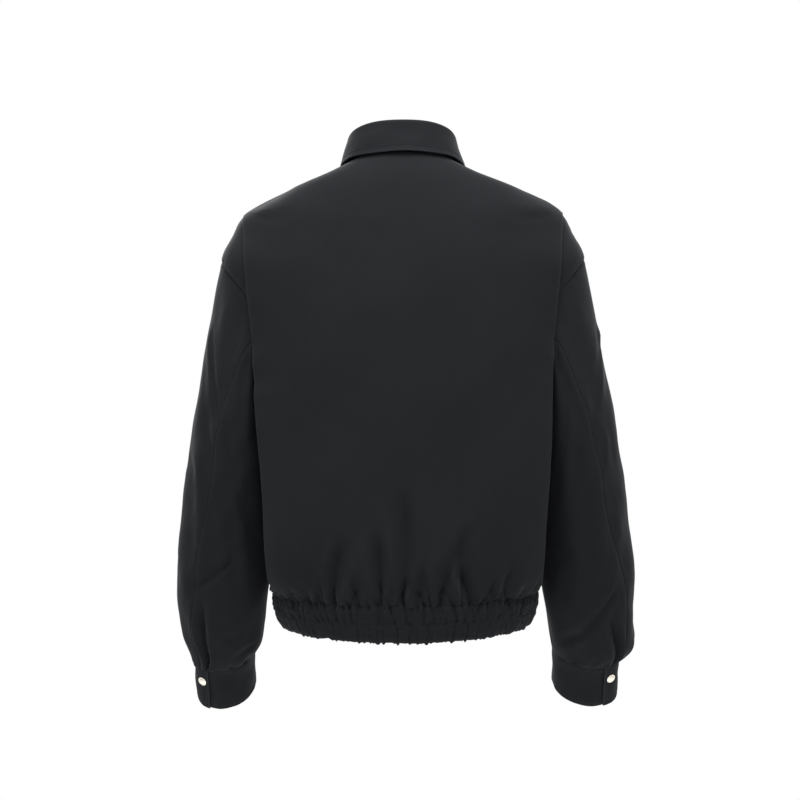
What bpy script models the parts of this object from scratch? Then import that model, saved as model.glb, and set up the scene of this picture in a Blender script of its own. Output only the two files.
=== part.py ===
"""Bomber jacket in the shape it takes when worn, hollow, with nobody in it.

Metres, +Z up. The front faces -Y, the wearer's left is +X. The origin is the middle of the neck,
level with the points where the shoulder seams meet the collar.

The body is one surface, torso(angle, row). A row is one section around the body, counted from 0 at the
neck seam to HEM_ROW at the waistband, and a fractional row lies between two sections of the table. The
angle goes round that section: 0 at the side or along the shoulder seam, 90 at the centre back, -90 at the
centre front. Each body panel is the patch of that surface between its own seams, made into a thin wall.
The sleeves are tubes whose rings start at the armhole and fan round to hang down beside the body.
"""

import math

import bmesh
import bpy
import numpy as np

# ---- Cloth and seams ----
CLOTH = 0.0010  # one layer of twill
DOUBLE = 0.0022  # two layers, as in the collar and the cuffs
BAND_WALL = 0.0028  # two layers and the elastic between them
SEAM = 0.0004  # clear space left between two pieces at a seam
LAYER_DROP = 0.0040  # how far the side back lies under the pleated edge of the back
PLEAT_TURN = 0.028  # how far the cloth is folded under at each pleat
FOLD_START = 0.5  # rows over which the folded strip thickens below the shoulder corner
PLEAT_FADE = 0.020  # past the pleat's edge, the side back rises to the outside over this width
SHOULDER_FADE = math.radians(25)  # and over this angle it does so on the front

# ---- Body: one row for each section, from the neck seam down to the waistband ----
# half_width and the depths to back and front are measured from the centre line; the three heights are
# those of the side, the centre back and the centre front; square is 2 for an ellipse and more for a
# boxier section; arm_room is how far the hanging arm presses the side in; pleat_edge is the half width
# of the back at its pleats, and layer is 1 where the side back lies under it.
TORSO_COLUMNS = (
    "half_width", "back", "front", "z_side", "z_back", "z_front", "square", "arm_room", "pleat_edge", "layer",
)
TORSO = np.array([
    (0.0660, 0.058, 0.081, 0.000, 0.022, -0.070, 2.10, 0.000, 0.2060, 0),  # neck seam
    (0.1100, 0.076, 0.096, -0.0195, 0.001, -0.088, 2.20, 0.000, 0.2060, 0),
    (0.1550, 0.092, 0.109, -0.036, -0.027, -0.107, 2.35, 0.000, 0.2060, 0),  # middle of the shoulder
    (0.2060, 0.106, 0.120, -0.064, -0.066, -0.130, 2.50, 0.000, 0.2060, 1),  # shoulder corner
    (0.2210, 0.114, 0.128, -0.093, -0.101, -0.149, 2.60, 0.000, 0.2030, 1),
    (0.2340, 0.120, 0.132, -0.124, -0.134, -0.169, 2.70, 0.000, 0.2005, 1),  # top of the armhole
    (0.2280, 0.125, 0.134, -0.165, -0.172, -0.195, 2.80, 0.010, 0.1965, 1),
    (0.2200, 0.128, 0.134, -0.207, -0.210, -0.225, 2.90, 0.022, 0.1930, 1),
    (0.2135, 0.130, 0.134, -0.250, -0.250, -0.257, 3.00, 0.033, 0.1910, 1),
    (0.2105, 0.131, 0.133, -0.293, -0.293, -0.295, 3.00, 0.036, 0.1890, 1),  # armpit
    (0.2085, 0.131, 0.132, -0.340, -0.340, -0.340, 3.00, 0.042, 0.1865, 1),
    (0.2055, 0.131, 0.131, -0.390, -0.390, -0.390, 3.00, 0.041, 0.1835, 1),
    (0.2020, 0.130, 0.130, -0.440, -0.440, -0.440, 3.00, 0.036, 0.1805, 1),
    (0.1980, 0.129, 0.129, -0.485, -0.487, -0.487, 3.00, 0.029, 0.1780, 1),
    (0.1920, 0.127, 0.127, -0.518, -0.524, -0.524, 2.95, 0.019, 0.1750, 1),
    (0.1830, 0.121, 0.121, -0.541, -0.549, -0.549, 2.85, 0.008, 0.1725, 1),
    (0.1700, 0.109, 0.110, -0.553, -0.563, -0.563, 2.70, 0.000, 0.1680, 1),  # top of the waistband
])
CORNER_ROW = 3
ARMHOLE_TOP_ROW = 5
ARMPIT_ROW = 9
HEM_ROW = 16
SHOULDER_ROWS = (0, 0.5, 1, 1.5, 2, 2.6, 3)  # mesh rows along the shoulder seam
SIDE_BACK_ROWS = (3.15, 3.6, 4.3)  # mesh rows from the corner down to the armhole
SIDE_SEAM_ROWS = (9.5, 10.2, 11, 12, 13, 14, 14.8, 15.4, 16)
BACK_ROWS = (3.15, 3.6, 4.3, 5, 5.6, 6.2, 7, 8, 9, 10, 11, 12, 13, 14, 14.8, 15.4, 16)
BACK_STEPS = 7  # mesh steps across half of the back, two of them over the folded strip
SIDE_BACK_STEPS = 5
FRONT_STEPS = 7
ARM_ROOM_ANGLE = math.radians(52)  # the side is pressed in within this angle of the side seam
ARMHOLE_BACK = math.radians(38)  # how far the armhole reaches round to the back
ARMHOLE_FRONT = math.radians(40)
ARMHOLE_OVAL = 2.5  # 2 would make the armhole an ellipse
ARMHOLE_EASE = 1.012  # the body panels' own armhole is so much larger, which leaves the seam's space

# ---- Sleeve: one row for each ring, from the armhole down to the cuff ----
# Each ring runs from its outer point to its inner point and is depth to either side of them in Y, about
# its own y; lean is how far the ring's back edge dips, in degrees; bow pulls the back and the front of
# the ring towards the body; seam is the angle of the back seam on the wearer's left and right sleeve.
SLEEVE_COLUMNS = (
    "outer_x", "outer_z", "inner_x", "inner_z", "y", "depth", "lean", "bow", "square",
    "seam_left", "seam_right",
)
SLEEVE = np.array([
    (0.2340, -0.124, 0.1748, -0.2925, 0.000, 0.0860, 0, 0.026, 2.4, 108, 108),  # armhole
    (0.2400, -0.150, 0.1800, -0.2960, 0.000, 0.0825, 0, 0.022, 2.3, 96, 96),
    (0.2465, -0.184, 0.1805, -0.3050, -0.001, 0.0805, 0, 0.017, 2.3, 87, 88),
    (0.2545, -0.228, 0.1785, -0.3200, -0.002, 0.0795, 0, 0.011, 2.2, 80, 82),
    (0.2630, -0.273, 0.1760, -0.3420, -0.004, 0.0790, 1, 0.006, 2.2, 74, 76),
    (0.2715, -0.320, 0.1745, -0.3700, -0.007, 0.0780, 2, 0.002, 2.2, 71, 71),
    (0.2805, -0.375, 0.1740, -0.4050, -0.012, 0.0765, 5, 0.000, 2.2, 72, 67),
    (0.2880, -0.430, 0.1740, -0.4450, -0.020, 0.0740, 8, 0.000, 2.2, 66, 63),
    (0.2950, -0.483, 0.1755, -0.4870, -0.030, 0.0710, 11, 0.000, 2.2, 60, 55),
    (0.3000, -0.533, 0.1790, -0.5300, -0.041, 0.0680, 14, 0.000, 2.2, 57, 44),
    (0.3005, -0.572, 0.1825, -0.5640, -0.050, 0.0620, 18, 0.000, 2.3, 54, 41),
    (0.2990, -0.602, 0.1860, -0.5930, -0.057, 0.0540, 23, 0.000, 2.3, 50, 42),
    (0.2930, -0.628, 0.1905, -0.6170, -0.063, 0.0450, 28, 0.000, 2.4, 47, 45),
    (0.2790, -0.6455, 0.1955, -0.6323, -0.069, 0.0345, 32, 0.000, 2.5, 46, 46),  # cuff seam
])
CUFF_RING = 13
SLEEVE_ROWS = (0.05, 0.5, 1, 2, 3, 4, 5, 6, 7, 8, 9, 10, 11, 12, 13)
SLEEVE_SEAM = 0.0005  # half a sleeve seam's space
ARMHOLE_FADE = 4.0  # the sleeve's first rings grow out of the armhole's own shape over this many rows
UNDER_SEAM = math.radians(216)  # the hidden seam, under the arm and a little forward
ARMHOLE_STEPS = 10  # mesh steps round each half of the armhole
UNDER_STEPS = 6  # mesh steps across the under sleeve, which takes 108 of the armhole's degrees

# ---- Cuff ----
CUFF_HEIGHT = 0.0600
CUFF_WIDTH = 0.0830
CUFF_DEPTH = 0.0690
CUFF_SQUARE = 2.5
CUFF_LEAN = math.radians(32)  # the forearm points forward
CUFF_TILT = math.radians(9)  # the outer side of the cuff's edges lies lower
CUFF_OVERLAP = math.radians(34)  # how much of the strap lies on the other end
CUFF_END = math.radians(60)  # where the strap ends, on the back of the wrist
CUFF_TUCK = math.radians(26)  # the lower layer goes under over this angle
CUFF_SEAM_GAP = 0.0013
CUFF_STEPS = 34
SNAP_TURN = math.radians(48)  # where the snap sits, a little before the strap's end
SNAP_DOWN = 0.30  # and how far down the cuff, as a share of its height

# ---- Waistband ----
BAND_BOTTOM = dict(
    half_width=0.1600, back=0.106, front=0.107, z_side=-0.594, z_back=-0.610, z_front=-0.608, square=2.6
)
BAND_SEAM_GAP = 0.0012
BAND_BULGE = 0.0035
BAND_STEPS = 42

# ---- Collar: one row for each sixth of the way from the centre back to the front edge ----
# fold is the top edge, where the collar turns over; the fall ends on the body surface at row_down and at
# edge_angle round the neck, in degrees, and stands off the surface by lift.
COLLAR_COLUMNS = ("fold_x", "fold_y", "fold_z", "edge_angle", "row_down", "lift")
COLLAR = np.array([
    (0.0000, 0.0640, 0.0473, 90, 0.72, 0.0100),  # centre back
    (0.0350, 0.0560, 0.0465, 62, 0.66, 0.0085),
    (0.0595, 0.0325, 0.0390, 33, 0.38, 0.0050),
    (0.0676, 0.0000, 0.0255, 2, 0.30, 0.0028),  # shoulder seam
    (0.0600, -0.0410, 0.0030, -27, 0.45, 0.0026),
    (0.0360, -0.0700, -0.0250, -53, 1.35, 0.0024),
    (0.0056, -0.0850, -0.0520, -73, 2.30, 0.0024),  # front edge and the point of the collar
])
COLLAR_FOLD_RADIUS = 0.0028
COLLAR_SEAM_GAP = 0.0014
COLLAR_BEND = 0.1  # the round fold takes this share of the stand and of the fall
COLLAR_UPS = (0, 0.5, 0.9, 0.95, 1.0, 1.05, 1.1, 1.55, 2.0)  # mesh rows from the neck seam on

# ---- Zip ----
ZIP_GAP = 0.0052  # half the space between the two front edges
CHAIN_WIDTH = 0.0050
CHAIN_DEPTH = 0.0022
TAPE_WALL = 0.0010
TAPE_REACH = 0.0150
TAPE_SINK = 0.0016  # the tape's middle lies this far inside the middle of the front's cloth
BAND_SINK = 0.0033  # and this far inside the middle of the waistband
ZIP_TOP_ROW = 0.05
ZIP_HEM_ROW = 15.9
ZIP_BAND_DOWNS = (0.1, 0.4, 0.7, 0.99)  # mesh rows down the waistband
ZIP_DEEPER_ROW = 15.0  # from here to the hem the zip goes inside the thicker waistband
SLIDER_ROW = 0.75  # where the pull's hinge stands on the centre front
SLIDER_WIDTH = 0.0088
SLIDER_TOP = 0.0062  # reach of the slider's plates above and below the hinge
SLIDER_FOOT = 0.0056
SLIDER_PLATE = 0.0013
SLIDER_POST = 0.0022
BRIDGE_WIDTH = 0.0024
BRIDGE_OPENING = 0.0028
BRIDGE_WALL = 0.0011
PULL_LENGTH = 0.0300
PULL_WIDTH = 0.0072
PULL_THICK = 0.0014
PULL_BAR = 0.0017  # the crossbar under the bridge, and the two arms beside the window
PULL_WINDOW = 0.0070
CLEAR = 0.0003  # running clearance

# ---- Snaps ----
SNAP_RADIUS = 0.00625
SNAP_HEIGHT = 0.0026
SNAP_RIM = 0.0008  # height of the cap's straight side
SNAP_SIDES = 24

NUDGE = 1e-4  # step for measuring the slope of a surface


# ---- Curves and surfaces ----
def rows_at(table, row):
    """A smooth curve through the rows of a table (Catmull-Rom), with row counted in rows."""
    padded = np.vstack([2 * table[0] - table[1], table, 2 * table[-1] - table[-2]])
    row = np.asarray(row, dtype=float)
    start = np.clip(np.floor(row).astype(int), 0, len(table) - 2)
    t = (row - start)[..., None]
    before, here, there, after = (padded[start + i] for i in range(4))
    return 0.5 * (
        2 * here
        + (there - before) * t
        + (2 * before - 5 * here + 4 * there - after) * t**2
        + (3 * here - before - 3 * there + after) * t**3
    )


def reading(table, names, row):
    """The columns of a table by name, at a row that may lie between two of its own."""
    return dict(zip(names, np.moveaxis(rows_at(table, row), -1, 0)))


def torso_at(row):
    return reading(TORSO, TORSO_COLUMNS, row)


def ease(t):
    """0 below 0, 1 above 1, and a smooth step between."""
    t = np.clip(t, 0, 1)
    return t * t * (3 - 2 * t)


def squared(angle, square):
    """A point of the unit superellipse in the direction of an angle."""
    c, s = np.cos(angle), np.sin(angle)
    reach = (np.abs(c) ** square + np.abs(s) ** square) ** (-1 / square)
    return c * reach, s * reach


def section_point(angle, section):
    """A point of a section: its back half and its front half are two superellipses that share their
    width, and its height goes from the side's to the centre's with the square of the sine."""
    x, y = squared(angle, section["square"])
    to_back = y > 0
    depth = np.where(to_back, section["back"], section["front"])
    z_centre = np.where(to_back, section["z_back"], section["z_front"])
    z = section["z_side"] + (z_centre - section["z_side"]) * np.sin(angle) ** 2
    return np.stack([section["half_width"] * x, depth * y, z], axis=-1)


def torso(angle, row):
    """The body as the centre back has it, without the room that the arms take."""
    return section_point(angle, torso_at(row))


def outward(surface, u, v):
    """Unit normals of a surface of two parameters, from its slopes, away from the body."""
    along_u = surface(u + NUDGE, v) - surface(u - NUDGE, v)
    along_v = surface(u, v + NUDGE) - surface(u, v - NUDGE)
    normal = np.cross(along_v, along_u)
    return normal / np.linalg.norm(normal, axis=-1, keepdims=True)


def grid_normals(grid):
    """Unit normals of a grid of points, from its own rows and columns."""
    normal = np.cross(np.gradient(grid, axis=0), np.gradient(grid, axis=1))
    return normal / np.linalg.norm(normal, axis=-1, keepdims=True)


def angle_at(width, row):
    """The angle at which the body is so far from its centre line."""
    section = torso_at(row)
    share = np.clip(width / section["half_width"], 1e-3, 1)
    square = section["square"]
    return np.arctan((share**-square - 1) ** (1 / square))


def body(angle, row):
    """The sides and the front: the torso with the arms' room pressed in, and the layer under the pleat."""
    point = torso(angle, row)
    section = torso_at(row)
    press = np.cos(np.clip(np.abs(angle) / ARM_ROOM_ANGLE, 0, 1) * math.pi / 2) ** 2
    under = 1 - ease((point[..., 0] - section["pleat_edge"]) / PLEAT_FADE)
    under = under * np.where(angle < 0, 1 - ease(-angle / SHOULDER_FADE), 1)
    point = point - outward(torso, angle, row) * (LAYER_DROP * section["layer"] * under)[..., None]
    point[..., 0] -= section["arm_room"] * press
    return point


def armhole_angle(turn, scale=1.0):
    """How far round the section the armhole is, with turn going from 0 at its top, over the back, to
    180 degrees at the armpit and on up the front."""
    reach = np.where(np.sin(turn) >= 0, ARMHOLE_BACK, ARMHOLE_FRONT)
    bulge = np.sqrt(np.clip(1 - np.abs(np.cos(turn)) ** ARMHOLE_OVAL, 0, 1))
    return scale * reach * bulge * np.sign(np.sin(turn))


def armhole_row(turn, scale=1.0):
    middle = (ARMHOLE_TOP_ROW + ARMPIT_ROW) / 2
    return middle - scale * (ARMPIT_ROW - middle) * np.cos(turn)


def armhole(turn):
    """The seam line of the armhole on the wearer's left."""
    return body(armhole_angle(turn), armhole_row(turn))


def ring(turn, row):
    """The sleeve as plain rings, from the sleeve table."""
    at = reading(SLEEVE, SLEEVE_COLUMNS, row)
    across, along = squared(turn, at["square"])
    lean = np.radians(at["lean"])
    x = (at["outer_x"] + at["inner_x"] + across * (at["outer_x"] - at["inner_x"])) / 2
    z = (at["outer_z"] + at["inner_z"] + across * (at["outer_z"] - at["inner_z"])) / 2
    back = along * at["depth"]
    return np.stack([
        x - at["bow"] * np.sin(turn) ** 2,
        at["y"] + back * np.cos(lean),
        z - back * np.sin(lean),
    ], axis=-1)


def sleeve(turn, row):
    """The sleeve: plain rings that grow out of the armhole's own shape."""
    fade = (1 - ease(np.asarray(row) / ARMHOLE_FADE))[..., None]
    return ring(turn, row) + (armhole(turn) - ring(turn, 0 * turn)) * fade


# ---- Meshes ----
def material(name, colour, roughness, metallic=0.0):
    made = bpy.data.materials.new(name)
    made.use_nodes = True
    shader = made.node_tree.nodes["Principled BSDF"]
    shader.inputs["Base Color"].default_value = (*colour, 1)
    shader.inputs["Roughness"].default_value = roughness
    shader.inputs["Metallic"].default_value = metallic
    return made


def add_object(name, work, stuff):
    """One named object from a bmesh, with its faces turned out."""
    if work.calc_volume(signed=True) < 0:
        bmesh.ops.reverse_faces(work, faces=work.faces)
    mesh = bpy.data.meshes.new(name)
    work.to_mesh(mesh)
    work.free()
    mesh.materials.append(stuff)
    mesh.shade_smooth()
    mesh.set_sharp_from_angle(angle=math.radians(40))
    thing = bpy.data.objects.new(name, mesh)
    bpy.context.collection.objects.link(thing)
    return thing


def wall(name, middle, normal, outside, inside, stuff, mirror=False):
    """A closed wall on a grid of points: out along the normals by outside, in by inside, and closed round
    its four edges. Each square of the grid is halved along its shorter diagonal."""
    rows, columns = middle.shape[:2]
    outer = middle + normal * np.broadcast_to(outside, (rows, columns))[..., None]
    inner = middle - normal * np.broadcast_to(inside, (rows, columns))[..., None]
    points = np.concatenate([outer.reshape(-1, 3), inner.reshape(-1, 3)])
    if mirror:
        points = points * (-1, 1, 1)
    top = np.arange(rows * columns).reshape(rows, columns)
    a, b, c, d = (quad.ravel() for quad in (top[:-1, :-1], top[1:, :-1], top[1:, 1:], top[:-1, 1:]))
    across = np.linalg.norm(points[a] - points[c], axis=1) < np.linalg.norm(points[b] - points[d], axis=1)
    first = np.where(across, (a, b, c), (a, b, d)).T
    second = np.where(across, (a, c, d), (b, c, d)).T
    halves = np.concatenate([first, second])
    rim = np.concatenate([top[:, 0], top[-1, 1:], top[-2::-1, -1], top[0, -2:0:-1]])
    after = np.roll(rim, -1)
    under = rows * columns
    sides = np.concatenate([
        np.column_stack([rim, rim + under, after + under]),
        np.column_stack([rim, after + under, after]),
    ])
    work = bmesh.new()
    verts = [work.verts.new(point) for point in points]
    for face in np.concatenate([halves, halves[:, ::-1] + under, sides]):
        work.faces.new([verts[i] for i in face])
    return add_object(name, work, stuff)


def panel(name, surface, u, rows, stuff, thickness=CLOTH, mirror=False):
    """A wall with even thickness on a patch of a surface, given the first parameter of every point and
    the second of every row."""
    v = np.repeat(np.asarray(rows, dtype=float)[:, None], u.shape[1], axis=1)
    return wall(name, surface(u, v), outward(surface, u, v), thickness / 2, thickness / 2, stuff, mirror)


def between(start, stop, steps):
    """Rows of evenly spaced values from each start to its stop."""
    return start[:, None] + (stop - start)[:, None] * np.linspace(0, 1, steps + 1)


# ---- Body panels ----
def seam_gap(rows):
    """Half a seam, as an angle on those rows' sections."""
    return SEAM / 2 / torso_at(rows)["back"]


def back_half(rows):
    """The columns of one half of the back: from its edge over the folded strip to the centre. At the neck
    they are evenly spaced, and from the shoulder corner down two of them bound the folded strip."""
    section = torso_at(rows)
    edge = np.minimum(section["pleat_edge"], section["half_width"])
    seam = np.maximum(angle_at(edge, rows), seam_gap(rows))
    middle = angle_at(edge - PLEAT_TURN / 2, rows)
    folded = angle_at(edge - PLEAT_TURN, rows)
    centre = np.full(len(rows), math.pi / 2)
    pleated = np.column_stack([seam, middle, between(folded, centre, BACK_STEPS - 2)])
    even = between(seam, centre, BACK_STEPS)
    share = ease(rows / CORNER_ROW)[:, None]
    return even + (pleated - even) * share


def make_back(stuff):
    rows = np.array(SHOULDER_ROWS + BACK_ROWS, dtype=float)
    half = back_half(rows)
    angles = np.concatenate([half, math.pi - half[:, -2::-1]], axis=1)
    folded = np.zeros(angles.shape)
    folded[:, [0, 1, -2, -1]] = ease((rows - CORNER_ROW) / FOLD_START)[:, None]
    inside = CLOTH / 2 + folded * (CLOTH + SEAM / 2)
    grid_rows = np.repeat(rows[:, None], angles.shape[1], axis=1)
    wall("back", torso(angles, grid_rows), outward(torso, angles, grid_rows), CLOTH / 2, inside, stuff)


def side_edge(rows_above, side):
    """The edge of a side back (side 1) or a front (side -1): along the shoulder, round the armhole and
    down the side seam, as rows and angles."""
    turns = np.linspace(0, math.pi, ARMHOLE_STEPS + 1)
    rows = np.concatenate([rows_above, armhole_row(turns, ARMHOLE_EASE), SIDE_SEAM_ROWS])
    angles = seam_gap(rows)
    round_armhole = slice(len(rows_above), len(rows_above) + len(turns))
    opening = side * armhole_angle(side * turns, ARMHOLE_EASE)
    angles[round_armhole] = np.maximum(opening, angles[round_armhole])
    return rows, side * angles


def make_side_back(name, stuff, mirror):
    rows, edge = side_edge(SIDE_BACK_ROWS, 1)
    section = torso_at(rows)
    start = angle_at(np.minimum(section["pleat_edge"], section["half_width"]) - PLEAT_TURN, rows)
    panel(name, body, between(start, edge, SIDE_BACK_STEPS), rows, stuff, mirror=mirror)


def front_half(rows, edge):
    return between(edge, -angle_at(ZIP_GAP, rows), FRONT_STEPS)


def make_front(name, stuff, mirror):
    rows, edge = side_edge(SHOULDER_ROWS + SIDE_BACK_ROWS, -1)
    panel(name, body, front_half(rows, edge)[:, ::-1], rows, stuff, mirror=mirror)


# ---- Sleeves and cuffs ----
def make_sleeve(side, stuff, mirror):
    rows = np.array(SLEEVE_ROWS, dtype=float)
    at = reading(SLEEVE, SLEEVE_COLUMNS, rows)
    seam = np.radians(at["seam_" + side])
    gap = SLEEVE_SEAM / at["depth"]
    under = between(UNDER_SEAM - gap, seam + gap, UNDER_STEPS)
    upper = between(seam + 2 * math.pi - gap, UNDER_SEAM + gap, 2 * ARMHOLE_STEPS - UNDER_STEPS)
    panel("sleeve_under_" + side, sleeve, under, rows, stuff, mirror=mirror)
    panel("sleeve_upper_" + side, sleeve, upper, rows, stuff, mirror=mirror)


def cuff(turn, down):
    """The cuff: a rounded oval strap round the wrist, with down from 0 at its seam to 1 at its hem. Past
    the point where it meets its own other end, it lies under the strap."""
    top = reading(SLEEVE, SLEEVE_COLUMNS, float(CUFF_RING))
    across, along = squared(turn, CUFF_SQUARE)
    tuck = (1 - ease((turn - CUFF_END) / CUFF_TUCK)) * (DOUBLE + SEAM)
    x = (top["outer_x"] + top["inner_x"]) / 2
    z = (top["outer_z"] + top["inner_z"]) / 2 - CUFF_SEAM_GAP
    aside = across * (CUFF_WIDTH / 2 - tuck)
    back = along * (CUFF_DEPTH / 2 - tuck)
    length = np.asarray(down) * CUFF_HEIGHT
    return np.stack([
        x + aside * math.cos(CUFF_TILT),
        top["y"] + back * math.cos(CUFF_LEAN) - length * math.sin(CUFF_LEAN),
        z - aside * math.sin(CUFF_TILT) - back * math.sin(CUFF_LEAN) - length * math.cos(CUFF_LEAN),
    ], axis=-1)


def make_cuff(side, stuff, mirror):
    ends = np.full(2, CUFF_END + 2 * math.pi), np.full(2, CUFF_END - CUFF_OVERLAP)
    panel("cuff_" + side, cuff, between(*ends, CUFF_STEPS), (0, 1), stuff, thickness=DOUBLE, mirror=mirror)


# ---- Waistband ----
def waistband(angle, down):
    """The elastic casing, from the body's last section to its own lower edge, a little fuller between."""
    top = torso_at(float(HEM_ROW))
    down = np.asarray(down, dtype=float)
    section = {}
    for key, low in BAND_BOTTOM.items():
        high = top[key]
        if key.startswith("z_"):
            high = high - BAND_SEAM_GAP
        section[key] = high + (low - high) * down
        if key in ("half_width", "back", "front"):
            section[key] = section[key] + BAND_BULGE * np.sin(math.pi * down)
    return section_point(angle, section)


def make_waistband(stuff):
    opening = angle_at(ZIP_GAP, float(HEM_ROW))
    downs = np.linspace(0, 1, 4)
    angles = between(np.full(4, math.pi + opening), np.full(4, -opening), BAND_STEPS)
    panel("waistband", waistband, angles, downs, stuff, thickness=BAND_WALL)


# ---- Collar ----
def collar(angle, up):
    """The collar at an angle round the neck, with up from 0 at the neck seam over 1 at the fold to 2 at
    the edge of the fall. The stand and the fall are straight, and meet in a small round fold."""
    front = -angle_at(ZIP_GAP, 0.0)
    at = reading(COLLAR, COLLAR_COLUMNS, (math.pi / 2 - angle) / (math.pi / 2 - front) * (len(COLLAR) - 1))
    fold = np.stack([at["fold_x"], at["fold_y"], at["fold_z"]], axis=-1)
    seam = torso(angle, 0 * angle) + np.array([0, 0, COLLAR_SEAM_GAP])
    edge_angle = np.radians(at["edge_angle"])
    edge = torso(edge_angle, at["row_down"])
    edge = edge + outward(torso, edge_angle, at["row_down"]) * at["lift"][..., None]
    out = (edge - fold) * (1, 1, 0)
    out = out / np.linalg.norm(out, axis=-1, keepdims=True) * COLLAR_FOLD_RADIUS
    bend = (np.clip((up - 1 + COLLAR_BEND) / (2 * COLLAR_BEND), 0, 1) * math.pi)[..., None]
    turned = fold - out * np.cos(bend) + np.array([0, 0, COLLAR_FOLD_RADIUS]) * np.sin(bend)
    stand = np.clip(up / (1 - COLLAR_BEND), 0, 1)[..., None]
    fall = np.clip((up - 1 - COLLAR_BEND) / (1 - COLLAR_BEND), 0, 1)[..., None]
    return turned + (seam - turned) * (1 - stand) + (edge - turned) * fall


def make_collar(stuff):
    neck = np.array([0.0])
    back = back_half(neck)[0, ::-1]
    front = front_half(neck, -seam_gap(neck))[0, 1:]
    angles, ups = np.meshgrid(np.concatenate([back, front]), COLLAR_UPS)
    left = collar(angles, ups)
    grid = np.concatenate([left[:, :0:-1] * (-1, 1, 1), left], axis=1)
    wall("collar", grid, grid_normals(grid), DOUBLE / 2, DOUBLE / 2, stuff)


# ---- Zip ----
def zip_rows(top):
    """The fronts' own mesh rows below a given one, which comes first."""
    rows, edge = side_edge(SHOULDER_ROWS + SIDE_BACK_ROWS, -1)
    return np.concatenate([[top], rows[(rows > top) & (rows < ZIP_HEM_ROW)], [ZIP_HEM_ROW]])


def zip_line(across, rows):
    """The line down the front at a distance from its centre, on the middle of the cloth."""
    downs = np.array(ZIP_BAND_DOWNS)
    hem = angle_at(across, float(HEM_ROW))
    return np.concatenate([
        torso(-angle_at(across, rows), rows),
        waistband(-hem + 0 * downs, downs),
    ])


def zip_strip(name, near, far, rows, thickness, stuff, mirror=False):
    """A wall down the front between two lines, as far inside the cloth as the zip lies."""
    grid = np.stack([near, far], axis=1)
    normal = grid_normals(grid)
    deeper = ease((rows - ZIP_DEEPER_ROW) / (ZIP_HEM_ROW - ZIP_DEEPER_ROW))
    sink = TAPE_SINK + (BAND_SINK - TAPE_SINK) * np.append(deeper, np.ones(len(ZIP_BAND_DOWNS)))
    grid = grid - normal * sink[:, None, None]
    wall(name, grid, normal, thickness / 2, thickness / 2, stuff, mirror)


def front_frame(row):
    """A point of the centre front and the slope there, as the turn about X that brings Y up along it."""
    point = torso(-math.pi / 2, row)
    along = torso(-math.pi / 2, row - NUDGE) - torso(-math.pi / 2, row + NUDGE)
    return point, math.atan2(along[2], along[1])


def box(name, low, high, stuff, bevel=0.0):
    """A box from its lowest to its highest corner, with bevelled edges."""
    work = bmesh.new()
    bmesh.ops.create_cube(work, size=1.0)
    for vert in work.verts:
        for i in range(3):
            vert.co[i] = (low[i] + high[i]) / 2 + vert.co[i] * (high[i] - low[i])
    if bevel:
        bmesh.ops.bevel(work, geom=work.edges[:], offset=bevel, segments=1, affect="EDGES")
    return add_object(name, work, stuff)


def combine(thing, tools, operation):
    """Joins each tool to an object, or cuts it away, and keeps the tool as a hidden guide."""
    for tool in tools:
        change = thing.modifiers.new(tool.name, "BOOLEAN")
        change.operation = operation
        change.solver = "EXACT"
        change.object = tool
        tool.hide_render = True
        tool.display_type = "WIRE"


def place(things, location, slope):
    """Puts parts that were made flat, with Y up and Z outward, on the slope of the front."""
    for thing in things:
        thing.location = location
        thing.rotation_euler = (slope, 0, 0)


def make_slider(point, slope, stuff):
    """Two plates with the chain between them, the post that joins them, and the bridge over the hinge.
    In its own frame the cloth's middle is at Z 0 and the hinge is over Y 0."""
    chain_face = CHAIN_DEPTH / 2 - TAPE_SINK
    chain_back = -CHAIN_DEPTH / 2 - TAPE_SINK
    front_low = chain_face + CLEAR
    front_high = front_low + SLIDER_PLATE
    back_high = chain_back - CLEAR
    half = SLIDER_WIDTH / 2
    slider = box(
        "zip_slider", (-half, -SLIDER_FOOT, front_low), (half, SLIDER_TOP, front_high), stuff,
        SLIDER_PLATE / 4,
    )
    back = box(
        "slider_back", (-half, -SLIDER_FOOT, back_high - SLIDER_PLATE), (half, SLIDER_TOP, back_high), stuff,
        SLIDER_PLATE / 4,
    )
    post = box(
        "slider_post", (-SLIDER_POST / 2, SLIDER_TOP - 2 * SLIDER_POST, back_high - SLIDER_PLATE / 2),
        (SLIDER_POST / 2, SLIDER_TOP - SLIDER_POST / 2, front_high - SLIDER_PLATE / 2), stuff,
    )
    reach = BRIDGE_OPENING / 2 + BRIDGE_WALL
    peak = front_high + BRIDGE_OPENING + BRIDGE_WALL
    bridge = box(
        "slider_bridge", (-BRIDGE_WIDTH / 2, -reach, front_high - SLIDER_PLATE / 2),
        (BRIDGE_WIDTH / 2, reach, peak), stuff, BRIDGE_WALL / 4,
    )
    hole = box(
        "slider_hole", (-BRIDGE_WIDTH, -BRIDGE_OPENING / 2, front_high),
        (BRIDGE_WIDTH, BRIDGE_OPENING / 2, front_high + BRIDGE_OPENING), stuff,
    )
    combine(slider, (back, post, bridge), "UNION")
    combine(slider, (hole,), "DIFFERENCE")
    place((slider, back, post, bridge, hole), point, slope)
    return front_high + BRIDGE_OPENING / 2


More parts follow.
